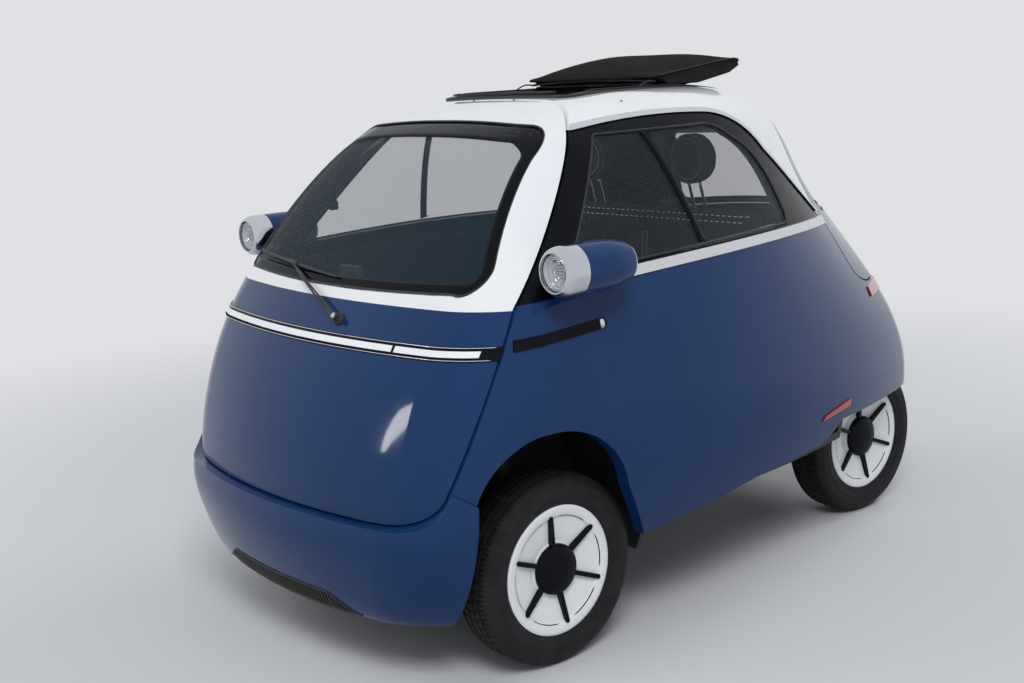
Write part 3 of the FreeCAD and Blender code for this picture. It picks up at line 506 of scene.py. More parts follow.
def sharp_edges(piece, angle):
    """Keeps edges over an angle sharp while the rest stays smooth."""
    builder = bmesh.new()
    builder.from_mesh(piece.data)
    for edge in builder.edges:
        if len(edge.link_faces) == 2 and edge.calc_face_angle() > math.radians(angle):
            edge.smooth = False
    builder.to_mesh(piece.data)
    builder.free()


def subdivided(piece):
    modifier = piece.modifiers.new("smooth", "SUBSURF")
    modifier.levels = 1
    modifier.render_levels = 1


def lofts(name, groups, look, body="body", slot=None, closed=False, whole=True, merge=False, smooth=True,
          thin=False):
    """One piece of several surfaces, each through rows of equal length.

    Rows close on themselves where whole. The first and last row are capped, by quads across where thin.
    """
    vertices = []
    faces = []
    for rows in groups:
        base = len(vertices)
        count = len(rows)
        n = len(rows[0])
        vertices += [point for row in rows for point in row]
        for i in range(count if closed else count - 1):
            a = base + i * n
            b = base + (i + 1) % count * n
            faces += [(a + k, a + (k + 1) % n, b + (k + 1) % n, b + k) for k in range(n if whole else n - 1)]
        last = base + (count - 1) * n
        if thin:
            faces += [(end + k, end + k + 1, end + n - 2 - k, end + n - 1 - k)
                      for end in (base, last) for k in range(n // 2 - 1)]
        elif not closed:
            faces += [range(base + n - 1, base - 1, -1), range(last, last + n)]
    return mend(make_piece(name, vertices, [tuple(face) for face in faces], look, body, smooth), merge)


def loft(name, rows, *given, **options):
    return lofts(name, [rows], *given, **options)


def band(name, tree, side, edge_a, edge_b, lift, thickness, look, body="body", closed=True, across=3,
         crown=0.0, slot=None):
    """Closed strip between two lines of a view, laid on a surface."""
    places = [(t, lift + thickness + crown * (1 - (2 * t - 1) ** 2)) for t in spread(0, 1, across)]
    places += [(1, lift), (0, lift)]
    rows = [[landed(tree, side, *a.lerp(b, t), height)[0] for t, height in places]
            for a, b in zip(edge_a, edge_b)]
    return loft(name, rows, look, body, slot, closed=closed)


def tube(name, points, radius, look, body="body", slot=None, closed=False, sides=10, flat=1.0, normals=None):
    """Round or flattened bead along a line of points in space."""
    rows = []
    for i, point in enumerate(points):
        along = heading(points, i, closed)
        if normals:
            across = normals[i].cross(along).normalized()
        elif rows:
            across = (across - along * across.dot(along)).normalized()
        else:
            across = along.orthogonal().normalized()
        out = along.cross(across).normalized()
        size = radius(i / max(len(points) - 1, 1)) if callable(radius) else radius
        rows.append([point + across * math.cos(a) * size + out * math.sin(a) * size * flat
                     for a in angles(sides)])
    return loft(name, rows, look, body, slot, closed=closed)


def bead(name, tree, side, line, lift, radius, body="body", **options):
    """Black bead laid on a surface along a line of a view."""
    laid = [landed(tree, side, p.x, p.y, lift) for p in line]
    return tube(name, [p for p, n in laid], radius, "black_plastic", body, normals=[n for p, n in laid],
                **options)


def lathe(name, profile, at, axis, look, body="body", slot=None, steps=96, closed_profile=False):
    """Surface turned about an axis through a point, from (distance along the axis, radius) pairs."""
    turn_to = vec(1, 0, 0).rotation_difference(Vector(axis)).to_matrix()
    rows = [[at + turn_to @ vec(along, radius * math.cos(a), radius * math.sin(a))
             for along, radius in profile] for a in angles(steps)]
    return loft(name, rows, look, body, slot, closed=True, whole=closed_profile, merge=True)


STITCH = ((0.0, 0.35, 0.0), (0.2, 1.0, 0.7), (0.8, 1.0, 0.7), (1.0, 0.35, 0.0))


def stitches(name, line, body="body", slot="seat_cloth", length=0.0050, gap=0.0034, radius=0.0008):
    """Row of short raised threads along a line of (point, normal) pairs."""
    def ends(total):
        result = []
        at = 0.0
        while at + length < total:
            result += [at, at + length]
            at += length + gap
        return result

    points = [p for p, n in line]
    found = [(points[segment].lerp(points[segment + 1], share), line[segment][1])
             for segment, share in walk(points, ends)]
    threads = []
    for (a, n), (b, m) in zip(found[::2], found[1::2]):
        across = n.cross((b - a).normalized()).normalized()
        rings = [(a.lerp(b, t) + n * radius * height, radius * size) for t, size, height in STITCH]
        threads.append([[middle + (across * math.cos(w) + n * math.sin(w)) * size for w in angles(6)]
                        for middle, size in rings])
    return lofts(name, threads, "thread", body, slot)


# Windows: black edges, rubber beads, divider bars and catch knobs

WINDSHIELD_LINE = outline(symmetric([
    (0, 1006), (255, 1008, 500, 1014), (560, 1032, 568, 1085), (472, 1335), (434, 1396, 370, 1420),
    (188, 1431, 0, 1434)]))
SIDE_GLASS_LINE = outline([
    (-686, 1042), (-170, 1062, 300, 1064), (332, 1070, 345, 1102), (292, 1232, 150, 1346),
    (92, 1378, 20, 1390), (-410, 1388)])
REAR_WINDOW_LINE = outline(symmetric([
    (0, 1035), (285, 1035), (321, 1048, 330, 1085), (268, 1290), (250, 1328, 205, 1338), (0, 1338)]))
KNOB = [(-0.001, 0.0), (-0.001, 0.008), (0.010, 0.008), (0.012, 0.014), (0.016, 0.019), (0.026, 0.020),
        (0.031, 0.017), (0.033, 0.012), (0.0335, 0.0)]


def border_width(point):
    """Wider along the top than along the sides and the foot."""
    return 0.029 + 0.014 * ease((point.y - 1.34) / 0.07)


def window_edge(name, side, line, count, width, lift, thickness, across, body):
    pane = surface(name)
    edge = even_points(line, count)
    band(name + "_border", pane, side, offset_line(edge, 0.0012), offset_line(edge, width), lift, thickness,
         "gloss_black", body, across=across)
    bead(name + "_bead", pane, side, offset_line(edge, 0.0035), 0.0012, 0.0032, body, closed=True)


def side_window(side):
    panes = surface("side_glass")
    edge = even_points(SIDE_GLASS_LINE, 160)
    bead("window_bead_" + side, panes, side, offset_line(edge, 0.004), 0.0015, 0.0038, closed=True)
    line = [vec(-0.221, 1.388).lerp(vec(-0.155, 1.0605), t) for t in spread(0, 1, 24)]
    band("window_divider_" + side, panes, side, offset_line(line, 0.008, False),
         offset_line(line, -0.016, False), 0.0003, 0.003, "gloss_black", closed=False, crown=0.001)
    at, out = landed(panes, side, -0.570, 1.173)
    lathe("window_knob_" + side, KNOB, at - out * 0.040, out, "gloss_black", steps=40)


window_edge("windshield", "front", WINDSHIELD_LINE, 220, border_width, 0.0001, 0.00012, 4, "door")
for side, sign in SIDES:
    side_window(side)


# Front light bar: thin bright edges, and small slanted ribs under the long bright strip

def light_bar():
    bar = surface("light_bar")
    along = spread(-0.655, 0.655, 139)
    for name, z in (("lower", 0.8693), ("upper", 0.8987)):
        band("light_bar_edge_" + name, bar, "front", [vec(x, z - 0.0008) for x in along],
             [vec(x, z + 0.0008) for x in along], 0.0002, 0.0008, "silver_trim", "door", closed=False,
             across=1)
    step = vec(0.0016, 0, 0)
    teeth = []
    for x in spread(-0.580, 0.370, 95):
        ends = [landed(bar, "front", x, 0.8712, 0.0002), landed(bar, "front", x + 0.003, 0.8755, 0.0002)]
        teeth.append([[p - step, p - step * 0.7 + n * 0.0014, p + step * 0.7 + n * 0.0014, p + step]
                      for p, n in ends])
    lofts("light_bar_teeth", teeth, "gloss_black", "door", smooth=False)


light_bar()


# Front bumper: ribbed black grille in the lower edge, with painted shade between the ribs and painted light
# on the ribs

GRILLE_HALF = 0.352
GRILLE_LOW = 0.1840
GRILLE_LIP = ((0.0015, 0.1), (0.0025, -0.75), (0.0060, -1.0), (0.0240, -1.0), (0.0300, -0.7), (0.0300, 0.1))
RIB = ((-0.0022, 0), (-0.0017, 0.0013), (0.0017, 0.0013), (0.0022, 0))
RIB_STEP = 0.0140


def grille_top(x):
    """Upper edge of the grille: level, and falling to a point at each end."""
    return GRILLE_LOW + 0.003 + 0.049 * (1 - ease((abs(x) - 0.235) / (GRILLE_HALF - 0.235)))


def grille():
    bumper = surface("front_bumper")
    along = spread(-GRILLE_HALF, GRILLE_HALF, 120)
    top = [vec(x, grille_top(x)) for x in along]
    # The grille face is near-black: painted shade in the recess between the ribs
    band("grille_face", bumper, "front", [vec(x, GRILLE_LOW) for x in along], top, 0.0002, 0.0008,
         "grille_gap", closed=False, across=6, slot="black_plastic")
    lip = []
    for x in along[4:-4]:
        at = landed(bumper, "front", x, GRILLE_LOW + 0.003)[0]
        depth = 0.0125 * math.sqrt(min(max((GRILLE_HALF - 0.02 - abs(x)) / 0.05, 0.02), 1))
        lip.append([at + vec(0, dy, dz * depth) for dy, dz in GRILLE_LIP])
    piece = loft("grille_lip", lip, "black_plastic")
    sharp_edges(piece, 35)
    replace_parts(piece, "front_grille")
    bead("grille_rim", bumper, "front", top, 0.0012, 0.0026, sides=8)
    ribs = []
    count = int(2 * (GRILLE_HALF - 0.024) / RIB_STEP)
    for k in range(count + 1):
        x = (k - count / 2) * RIB_STEP
        laid = [landed(bumper, "front", x + 0.10 * (z - GRILLE_LOW), z, 0.0008)
                for z in spread(GRILLE_LOW, grille_top(x), 5)]
        ribs.append([[at + vec(dx, 0, 0) + out * lift for dx, lift in RIB] for at, out in laid])
    # The ribs are lighter than black plastic: painted light on their faces
    lofts("grille_ribs", ribs, "grille_rib_painted_light", slot="black_plastic", smooth=False)


grille()


# Wheels: tyres with grooves and sipes, and thin slots round the dish

WHEELS = {
    "fl": ("wheel_front_left", 1), "fr": ("wheel_front_right", -1),
    "rl": ("wheel_rear_left", 1), "rr": ("wheel_rear_right", -1)}
SIDEWALL = [
    (0.1658, 0.0536), (0.1700, 0.0545), (0.1790, 0.0552), (0.1822, 0.0600), (0.1850, 0.0628),
    (0.1880, 0.0646), (0.1905, 0.0648), (0.1920, 0.0640), (0.1950, 0.0655), (0.2010, 0.0684),
    (0.2060, 0.0705), (0.2110, 0.0720), (0.2135, 0.0724), (0.2150, 0.0717), (0.2200, 0.0720),
    (0.2250, 0.0716), (0.2310, 0.0704), (0.2330, 0.0712), (0.2350, 0.0702), (0.2400, 0.0680),
    (0.2460, 0.0645), (0.2520, 0.0600), (0.2560, 0.0560), (0.2585, 0.0515)]
GROOVES = ((0.0340, 0.0440), (0.0120, 0.0240))
GROOVE_HALF = 0.0034
GROOVE_DEPTH = 0.0065
EDGE_SIPE = 0.005
MIDDLE_SIPE = 0.0035
TYRE_STEPS = 480
SLOT_MIDDLE = 0.1489
SLOT_ROW = ((-0.0011, -0.0002), (-0.0011, 0.0004), (0.0011, 0.0004), (0.0011, -0.0002))


def tread_radius(x):
    """Height of the tread over its width, without the grooves."""
    far = max(abs(x) - 0.018, 0) / 0.034
    return 0.2620 - 0.0030 * far * far


def tread_line():
    """Half of the tread from its edge to its middle: (radius, x, sipe depth where a sipe is cut)."""
    rows = [(tread_radius(0.0490), 0.0490, EDGE_SIPE)]
    for centre, land in GROOVES:
        outer = centre + GROOVE_HALF
        inner = centre - GROOVE_HALF
        rows += [(tread_radius(land), land, EDGE_SIPE), (tread_radius(outer), outer + 0.0004, EDGE_SIPE),
                 (tread_radius(outer) - GROOVE_DEPTH, outer - 0.0012, 0),
                 (tread_radius(inner) - GROOVE_DEPTH, inner + 0.0012, 0),
                 (tread_radius(inner), inner - 0.0004, MIDDLE_SIPE)]
    rows.append((tread_radius(0.004), 0.004, MIDDLE_SIPE))
    return rows


def tyre(short, body, centre):
    half = [(r, x, 0) for r, x in SIDEWALL] + tread_line()
    profile = [(r, -x, cut) for r, x, cut in half] + [(r, x, cut) for r, x, cut in reversed(half)]
    rows = []
    for i, angle in enumerate(angles(TYRE_STEPS)):
        row = []
        for r, x, cut in profile:
            turn = i + int(round(abs(x) * 90))
            radius = r - (cut if turn % 8 == 0 or (abs(x) > 0.038 and turn % 4 == 0) else 0)
            if 0.2530 < r < 0.2600 and abs(x) > 0.0505 and i % 4 == 0:
                radius -= 0.0022
            row.append(centre + vec(x, radius * math.cos(angle), radius * math.sin(angle)))
        rows.append(row)
    piece = loft("tyre_detail_" + short, rows, "tyre", body, closed=True, whole=False)
    sharp_edges(piece, 35)
    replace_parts(piece, "tyre_" + short)


def dish_slots(short, body, centre, outward):
    """Six thin dark slots where the dish meets the rolled edge, one between each pair of bars."""
    disc = surface("rim_" + short)
    slots = []
    for k in range(6):
        rows = []
        for step, degrees in enumerate(spread(60 * k + 19, 60 * k + 57, 24)):
            angle = math.radians(degrees)
            row = []
            for beside, lift in SLOT_ROW:
                r = SLOT_MIDDLE + beside * (1 if 2 <= step <= 22 else 0.45)
                origin = centre + vec(outward * 0.3, -outward * r * math.sin(angle), r * math.cos(angle))
                row.append(disc.ray_cast(origin, vec(-outward, 0, 0))[0] + vec(outward * lift, 0, 0))
            rows.append(row)
        slots.append(rows)
    lofts("dish_slots_" + short, slots, "gloss_black", body, whole=False)


for short, (body, outward) in WHEELS.items():
    tyre(short, body, sum(box("tyre_" + short), vec(0, 0, 0)) / 2)
    dish_slots(short, body, sum(box("rim_" + short), vec(0, 0, 0)) / 2, outward)


# Small bright caps at the side trims' rear ends, rivets on the roof's front, and the rear window's edge

CAP = [vec(-0.613, 0.9035), vec(-0.604, 0.9045), vec(-0.5985, 0.909), vec(-0.597, 0.918), vec(-0.599, 0.9275),
       vec(-0.604, 0.9305), vec(-0.613, 0.9290)]
CAP_MIDDLE = vec(-0.6055, 0.9165)
RIVETS = ((0.095, -0.350), (0.405, -0.211), (0.255, -0.437))
RIVET = [(-0.001, 0.0), (-0.001, 0.0042), (0.0004, 0.0042), (0.0012, 0.0034), (0.0016, 0.0018), (0.0017, 0.0)]
trims = surface("fender_trims")
roof = surface("roof_shell")
for side, sign in SIDES:
    vertices = [landed(trims, side, p.x, p.y, 0.0001)[0] for p in CAP]
    vertices += [landed(trims, side, *CAP_MIDDLE.lerp(p, 0.86), 0.0020)[0] for p in CAP]
    vertices.append(landed(trims, side, *CAP_MIDDLE, 0.0023)[0])
    n = len(CAP)
    faces = [(k, (k + 1) % n, n + (k + 1) % n, n + k) for k in range(n)]
    faces += [(n + k, n + (k + 1) % n, 2 * n) for k in range(n)] + [tuple(range(n - 1, -1, -1))]
    mend(make_piece("fender_trim_cap_" + side, vertices, faces, "silver_trim"))
for side, sign in SIDES:
    for k, (x, y) in enumerate(RIVETS):
        at, out = landed(roof, "top", sign * x, y)
        lathe("roof_rivet_%s_%d" % (side, k), RIVET, at, out, "black_plastic", steps=16)
window_edge("rear_window", "rear", REAR_WINDOW_LINE, 160, 0.028, 0.0002, 0.0004, 3, "hatch")


# Folded roof: crowned bundle with a thin front, folds under it, bows, struts and a comb on the front rail

FRAME_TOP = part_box("sunroof_frame")[1][2]
COVER_HALF = 0.298
COVER_Y = (0.037, 0.4400)
COVER_MIDDLE = [(0.037, 1.5270), (0.045, 1.5400), (0.060, 1.5510), (0.100, 1.5690), (0.140, 1.5800),
                (0.200, 1.5880), (0.273, 1.5915), (0.340, 1.5905), (0.395, 1.5840), (0.420, 1.5790),
                (0.433, 1.5700), (0.440, 1.5600)]
COVER_EDGE = [(0.037, 1.5247), (0.060, 1.5310), (0.137, 1.5400), (0.301, 1.5600), (0.400, 1.5690),
              (0.426, 1.5665), (0.440, 1.5560)]
COVER_HEM = [(0.037, 1.5225), (0.066, 1.5205), (0.080, 1.5150), (0.095, 1.4990), (0.233, 1.4990),
             (0.300, 1.5095), (0.386, 1.5235), (0.420, 1.5390), (0.440, 1.5500)]
FRAME_ROW = ((0.0, -0.020), (0.0, -0.004), (0.10, -0.0008), (0.30, 0.0), (0.70, 0.0), (0.90, -0.0008),
             (1.0, -0.004), (1.0, -0.024))
TOOTH = ((0.0018, -0.328, 0, -0.302, 0), (0.0012, -0.325, 0.0045, -0.304, 0.0060))
FOLDS_HALF = 0.266
FOLDS = [(0.056, 1.5190), (0.048, 1.5162), (0.057, 1.5134), (0.073, 1.5118), (0.079, 1.5094), (0.072, 1.5072),
         (0.054, 1.5062), (0.048, 1.5038), (0.056, 1.5016), (0.080, 1.4998)]


def cover_half(y):
    """Half the bundle's width, which narrows towards the rear."""
    return COVER_HALF - 0.010 * clamp((y - 0.25) / 0.19)


def eased(knots, y, most):
    """Height on a line of (y, z) knots with its corners worn round, less so near its two ends."""
    reach = min(most, y - COVER_Y[0] + 0.002, COVER_Y[1] - y + 0.002)
    ys, zs = zip(*knots)
    return sum(float(np.interp(y + reach * k / 4, ys, zs)) for k in range(-4, 5)) / 9


def cover_ring(y):
    """Cross-section of the folded cover at one place along the roof."""
    end = min((y - COVER_Y[0]) / 0.012, (COVER_Y[1] - y) / 0.016, 1)
    half = cover_half(y) - (0.004 if y < 0.2 else 0.012) * (1 - math.sqrt(max(1 - (1 - end) ** 2, 0)))
    middle = eased(COVER_MIDDLE, y, 0.050)
    edge = eased(COVER_EDGE, y, 0.025)
    hem = eased(COVER_HEM, y, 0.008)
    hang = 0.015 * float(np.interp(y, (0.084, 0.100, 0.260, 0.345), (0, 1, 1, 0)))
    ring = []
    for t in spread(-1, 1, 48):
        x = half * t
        rise = (middle - edge) * (1 - abs(t) ** 3)
        ripple = 0.0012 * math.sin(19 * x + 14 * y) + 0.0009 * math.sin(46 * y - 13 * x) * (1 - abs(t))
        ring.append(vec(x, y, edge + rise + ripple * end * (1 - t ** 6)))
    flank = []
    for t in spread(0.1, 0.9, 8):
        fold = 0.0035 * abs(math.sin(math.pi * (3 * t + 2.4 * y))) - 0.006 * math.sin(math.pi * t)
        flank.append((half - 0.004 + fold, edge + (hem - edge) * t))
    flank += [(half - 0.006, hem), (half - 0.014, hem)]
    ring += [vec(x, y, z) for x, z in flank]
    for t in spread(1, -1, 20):
        x = (half - 0.0175) * t
        inside = max(1 - (abs(x) / 0.255) ** 6, 0)
        ring.append(vec(x, y, hem + 0.0005 + 0.0008 * math.sin(40 * t + 30 * y) - hang * inside))
    return ring + [vec(-x, y, z) for x, z in reversed(flank)]


def canopy_cover():
    piece = loft("canopy_cover", [cover_ring(y) for y in spread(*COVER_Y, 70)], "roof_cloth")
    subdivided(piece)
    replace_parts(piece, "sunroof_canopy")
    for side, sign in SIDES:
        seam = [vec(sign * (cover_half(y) + 0.0002), y, eased(COVER_EDGE, y, 0.025) + 0.0002)
                for y in spread(0.052, 0.422, 80)]
        tube("canopy_seam_" + side, seam, 0.0016, "black_plastic", slot="roof_cloth", sides=8)


def frame_height(x, y):
    """Top of the frame: level over the roof's crown, and close to the roof where that falls away."""
    return min(FRAME_TOP, landed(roof, "top", x, y)[0].z + 0.010 - 0.009 * clamp(y / 0.25))


def sunroof_rim():
    """Rounded rim of the roof opening that follows the roof."""
    low, high = box("sunroof_frame")
    line = even_points(rounded_rectangle(low.xy, high.xy, 0.060, 10), 260)
    rows = []
    for p, beyond, inner in zip(line, offset_line(line, -0.008), offset_line(line, 0.031)):
        top = frame_height(*beyond)
        rows.append([vec(*p.lerp(inner, t), top + dz) for t, dz in FRAME_ROW])
    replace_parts(loft("sunroof_rim", rows, "black_plastic", closed=True), "sunroof_frame")


def canopy_folds():
    """Fabric that runs back and forth under the bundle's front lip: a thin sheet with two faces."""
    line = smooth_line(FOLDS, 130)
    grid = []
    for i, p in enumerate(line):
        row = []
        for x in spread(-FOLDS_HALF, FOLDS_HALF, 40):
            wave = 0.0012 * math.sin(31 * x + i * 0.09) + 0.0008 * math.sin(67 * x + i * 0.21)
            row.append((x, p.x + wave * 2.0, p.y + wave * 0.5))
        grid.append(row)
    grid = np.array(grid)
    normals = np.cross(np.gradient(grid, axis=0), np.gradient(grid, axis=1))
    normals *= 0.0007 / (np.linalg.norm(normals, axis=2, keepdims=True) + 1e-12)
    rings = [np.concatenate((upper, lower[::-1])) for upper, lower in zip(grid + normals, grid - normals)]
    piece = loft("canopy_folds", [[Vector(p) for p in ring] for ring in rings], "roof_cloth", thin=True)


def canopy_frame():
    """Front bow, side struts and the comb of small ribs on the front rail."""
    bow = [vec(x, 0.050, 1.5215 - 0.010 * (x / 0.284) ** 2) for x in spread(-0.284, 0.284, 40)]
    tube("canopy_front_bow", bow, 0.0042, "black_plastic", flat=0.7)
    for side, sign in SIDES:
        strut = smooth_line([(sign * 0.286, -0.020, FRAME_TOP + 0.002),
                             (sign * 0.287, -0.004, FRAME_TOP + 0.010),
                             (sign * 0.287, 0.020, FRAME_TOP + 0.017), (sign * 0.284, 0.050, 1.5125)], 24)
        tube("canopy_strut_" + side, strut, 0.0024, "black_plastic")
        rail = [vec(sign * 0.289, y, frame_height(sign * 0.315, y) + 0.0018)
                for y in spread(-0.240, 0.320, 40)]
        tube("canopy_rail_" + side, rail, 0.0040, "black_plastic", flat=0.55)
    low = FRAME_TOP - 0.0004
    comb = []
    for x in spread(-0.228, 0.228, 57):
        comb.append([[vec(x - half, y0, low + z0), vec(x + half, y0, low + z0), vec(x + half, y1, low + z1),
                      vec(x - half, y1, low + z1)] for half, y0, z0, y1, z1 in TOOTH])
    lofts("roof_comb", comb, "black_plastic", smooth=False)


sunroof_rim()
canopy_cover()
canopy_folds()
canopy_frame()


# Wiper: pivot with its bright nut, two-bar arm and a blade that lies on the glass

WIPER_BASE = [(0.000, 0.0), (0.000, 0.0185), (0.006, 0.0185), (0.010, 0.0165), (0.014, 0.0125),
              (0.022, 0.0120), (0.024, 0.0100), (0.024, 0.0)]
WIPER_NUT = ((0.0200, 0.0085), (0.0260, 0.0085), (0.0285, 0.0060))


def wiper():
    pivot, out = landed(surface("door_panel"), "front", 0.128, 0.932)
    pane = surface("windshield")
    laid = [landed(pane, "front", -0.495 + 0.525 * t, 1.060 - 0.032 * t) for t in spread(0, 1, 40)]
    normals = [n for p, n in laid]
    black = ("black_plastic", "door")
    lathe("wiper_base", WIPER_BASE, pivot - out * 0.004, out, *black, steps=40)
    cross = out.orthogonal().normalized()
    other = out.cross(cross)
    nut = [[pivot + out * height + (cross * math.cos(a) + other * math.sin(a)) * size for a in angles(6)]
           for height, size in WIPER_NUT]
    sharp_edges(loft("wiper_nut", nut, "chrome", "door"), 25)
    end = laid[20][0] + (normals[0] + normals[-1]).normalized() * 0.0155
    start = pivot + out * 0.017
    direction = (end - start).normalized()
    flank = direction.cross(out).normalized()
    for k, offset in enumerate((0.0048, -0.0048)):
        arm = [start.lerp(end, t) + out * 0.011 * math.sin(math.pi * min(t * 1.15, 1))
               + flank * offset * (1 - t) ** 0.7 for t in spread(0, 1, 20)]
        tube("wiper_arm_%d" % k, arm, 0.0028, *black)
    head = [start + direction * (-0.012 + 0.007 * k) + out * (0.002 + 0.006 * math.sin(k * 0.3))
            for k in range(11)]
    tube("wiper_head", head, lambda t: 0.0085 * (1 - 0.45 * t), *black, flat=0.6, normals=[out] * 11)
    tube("wiper_rubber", [p + n * 0.0030 for p, n in laid], 0.0028, *black, flat=0.45,
         normals=[n.cross(vec(1, 0, 0)).normalized() for n in normals])
    spine = [p + n * (0.0070 + 0.0035 * math.sin(math.pi * k / 40)) for k, (p, n) in enumerate(laid)]
    blade = tube("wiper_blade", spine, lambda t: 0.0032 + 0.0016 * math.sin(math.pi * t), *black, flat=0.7,
                 normals=normals)
    tube("wiper_clip", [p + n * 0.0135 for p, n in laid[17:24]], 0.0058, *black, flat=0.8,
         normals=normals[17:24])
    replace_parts(blade, "wiper")


wiper()


# Lamp pods: bright ring, painted shell, domed lens over stepped rings, and a bright bezel round the mirror

LENS = [(0.0100, 0.0474), (0.0085, 0.0470), (0.0065, 0.0440), (0.0040, 0.0360), (0.0022, 0.0240),
        (0.0012, 0.0110), (0.0010, 0.0)]
REFLECTOR = [(0.0100, 0.0474), (0.0130, 0.0465), (0.0135, 0.0430), (0.0160, 0.0405), (0.0160, 0.0375),
             (0.0135, 0.0355), (0.0150, 0.0320), (0.0185, 0.0280), (0.0208, 0.0215), (0.0210, 0.0)]
RING_LIGHT = [(0.0148, 0.0392), (0.0128, 0.0402), (0.0118, 0.0390), (0.0128, 0.0378)]
EYE = [(0.0206, 0.0200), (0.0150, 0.0195), (0.0120, 0.0160), (0.0105, 0.0090), (0.0102, 0.0)]
BEZEL = [(-0.0008, 0.0455), (0.0010, 0.0458), (0.0014, 0.0466), (0.0008, 0.0474), (-0.0020, 0.0474)]
WEDGE = ((0.0300, 0.0165), (0.0450, 0.0112), (0.0450, 0.0150), (0.0300, 0.0195))
BAR = ((0.0122, -0.0006), (0.0122, 0.0006), (0.0150, 0.0006), (0.0150, -0.0006))
EYE_RADIUS = 0.0190


def facets(name, at):
    """Ring of small bright wedges between the lamp's eye and its rim, and bars across the eye."""
    groups = [[[at + vec(radius * math.cos(a), depth, radius * math.sin(a)) for radius, depth in WEDGE]
               for a in (TURN * (k + 0.12) / 44, TURN * (k + 0.88) / 44)] for k in range(44)]
    for z in spread(-0.0140, 0.0140, 4):
        half = math.sqrt(EYE_RADIUS ** 2 - z ** 2)
        groups.append([[at + vec(x, depth, z + dz) for depth, dz in BAR] for x in (-half, half)])
    lofts(name, groups, "chrome", smooth=False)


def profile(knots, radius, count=0):
    """Profile of a pod from (place along it, depth below its radius) pairs, smoothed over a count."""
    line = [(y, radius - depth) for y, depth in knots]
    return [tuple(p) for p in smooth_line(line, count)] if count else line


def pod(side, sign):
    low, high = box("lamp_rings")
    radius = (high.z - low.z) / 2
    at = vec(sign * (high.x - 0.066), low.y, (low.z + high.z) / 2)
    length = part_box("lamp_shells")[1][1] - at.y + 0.003

    def turned(name, line, look, steps=64, closed=False):
        return lathe(name + "_" + side, line, at, (0, 1, 0), look, steps=steps, closed_profile=closed)

    ring = profile([(0.0, 0.0170), (0.0, 0.0145)], radius)
    ring += profile([(0.0012, 0.0125), (0.0100, 0.0058), (0.0240, 0.0014), (0.0420, 0.0001), (0.0655, 0.0)],
                    radius, 20)
    ring += profile([(0.0660, 0.0006), (0.0660, 0.0100), (0.0220, 0.0100), (0.0140, 0.0170),
                     (0.0040, 0.0180)], radius)
    shell = [(0.0664, 0.0)] + profile([(0.0664, 0.0016), (0.0670, 0.0010)], radius)
    shell += profile([(0.0690, 0.0006), (0.1300, 0.0004), (0.1750, 0.0020), (0.2080, 0.0068),
                      (length - 0.0120, 0.0128), (length - 0.0040, 0.0180)], radius, 26)
    shell += profile([(length - 0.0030, 0.0195), (length - 0.0036, 0.0200), (length - 0.0060, 0.0200)],
                     radius)
    shell.append((length - 0.0060, 0.0))
    ring_piece = turned("lamp_ring", ring, "chrome", 96, closed=True)
    shell_piece = turned("lamp_shell", shell, "blue_paint", 96)
    for piece in (ring_piece, shell_piece):
        sharp_edges(piece, 30)
    inner_end = min(abs(vertex.co.x) for vertex in NODES["lamp_shells"].data.vertices)
    stem = [vec(sign * x, at.y + 0.110, at.z - 0.014)
            for x in spread(inner_end + 0.0015, abs(at.x) - 0.0285, 6)]
    tube("lamp_stem_" + side, stem, 0.019, "blue_paint", sides=40)
    lens = turned("lamp_lens", LENS, "clear_glass")
    turned("lamp_reflector", REFLECTOR, "chrome")
    turned("lamp_ring_light", RING_LIGHT, "lamp_white", closed=True)
    turned("lamp_eye", EYE, "clear_glass", 48)
    back_at = vec(at.x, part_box("mirror_glasses")[1][1], at.z)
    lathe("mirror_bezel_" + side, BEZEL, back_at, (0, 1, 0), "chrome", steps=64)
    facets("lamp_facets_" + side, at)
    if sign == 1:
        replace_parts(ring_piece, "lamp_rings")
        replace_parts(shell_piece, "lamp_shells")
        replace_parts(lens, "lamp_lenses")


for side, sign in SIDES:
    pod(side, sign)


# Seats: swollen covers with sewn channels, piping and pale stitching

VOXEL = 0.0085
SEAMS_X = (-0.385, 0.0, 0.385)
BASE_SEAMS_Y = (-0.070, 0.080, 0.215)
BACK_SEAMS_Z = (0.740, 0.880)
BASE_RINGS = ((0.3668, 0.016), (0.3720, 0.007), (0.390, 0.004), (0.520, 0.005), (0.548, 0.010),
              (0.566, 0.022), (0.5760, 0.040))
BACK_RINGS = ((0.5935, 0.018), (0.600, 0.010), (0.620, 0.005), (1.040, 0.005), (1.068, 0.008), (1.086, 0.015),
              (1.0960, 0.028))
HEADREST = [(0.0065, 0.0), (0.0045, 0.020), (0.0020, 0.040), (0.0022, 0.0520), (0.0060, 0.0560),
            (0.0022, 0.0605), (0.0035, 0.0690), (0.0085, 0.0760), (0.0175, 0.0790), (0.0350, 0.0797),
            (0.0520, 0.0786), (0.0610, 0.0745), (0.0665, 0.0660), (0.0685, 0.0500), (0.0690, 0.0250),
            (0.0692, 0.0)]
COLLAR = [(0.0, 0.0), (0.0, 0.0115), (0.004, 0.0112), (0.0065, 0.0080), (0.0065, 0.0)]


def evaluated(piece):
    return piece.evaluated_get(bpy.context.evaluated_depsgraph_get())


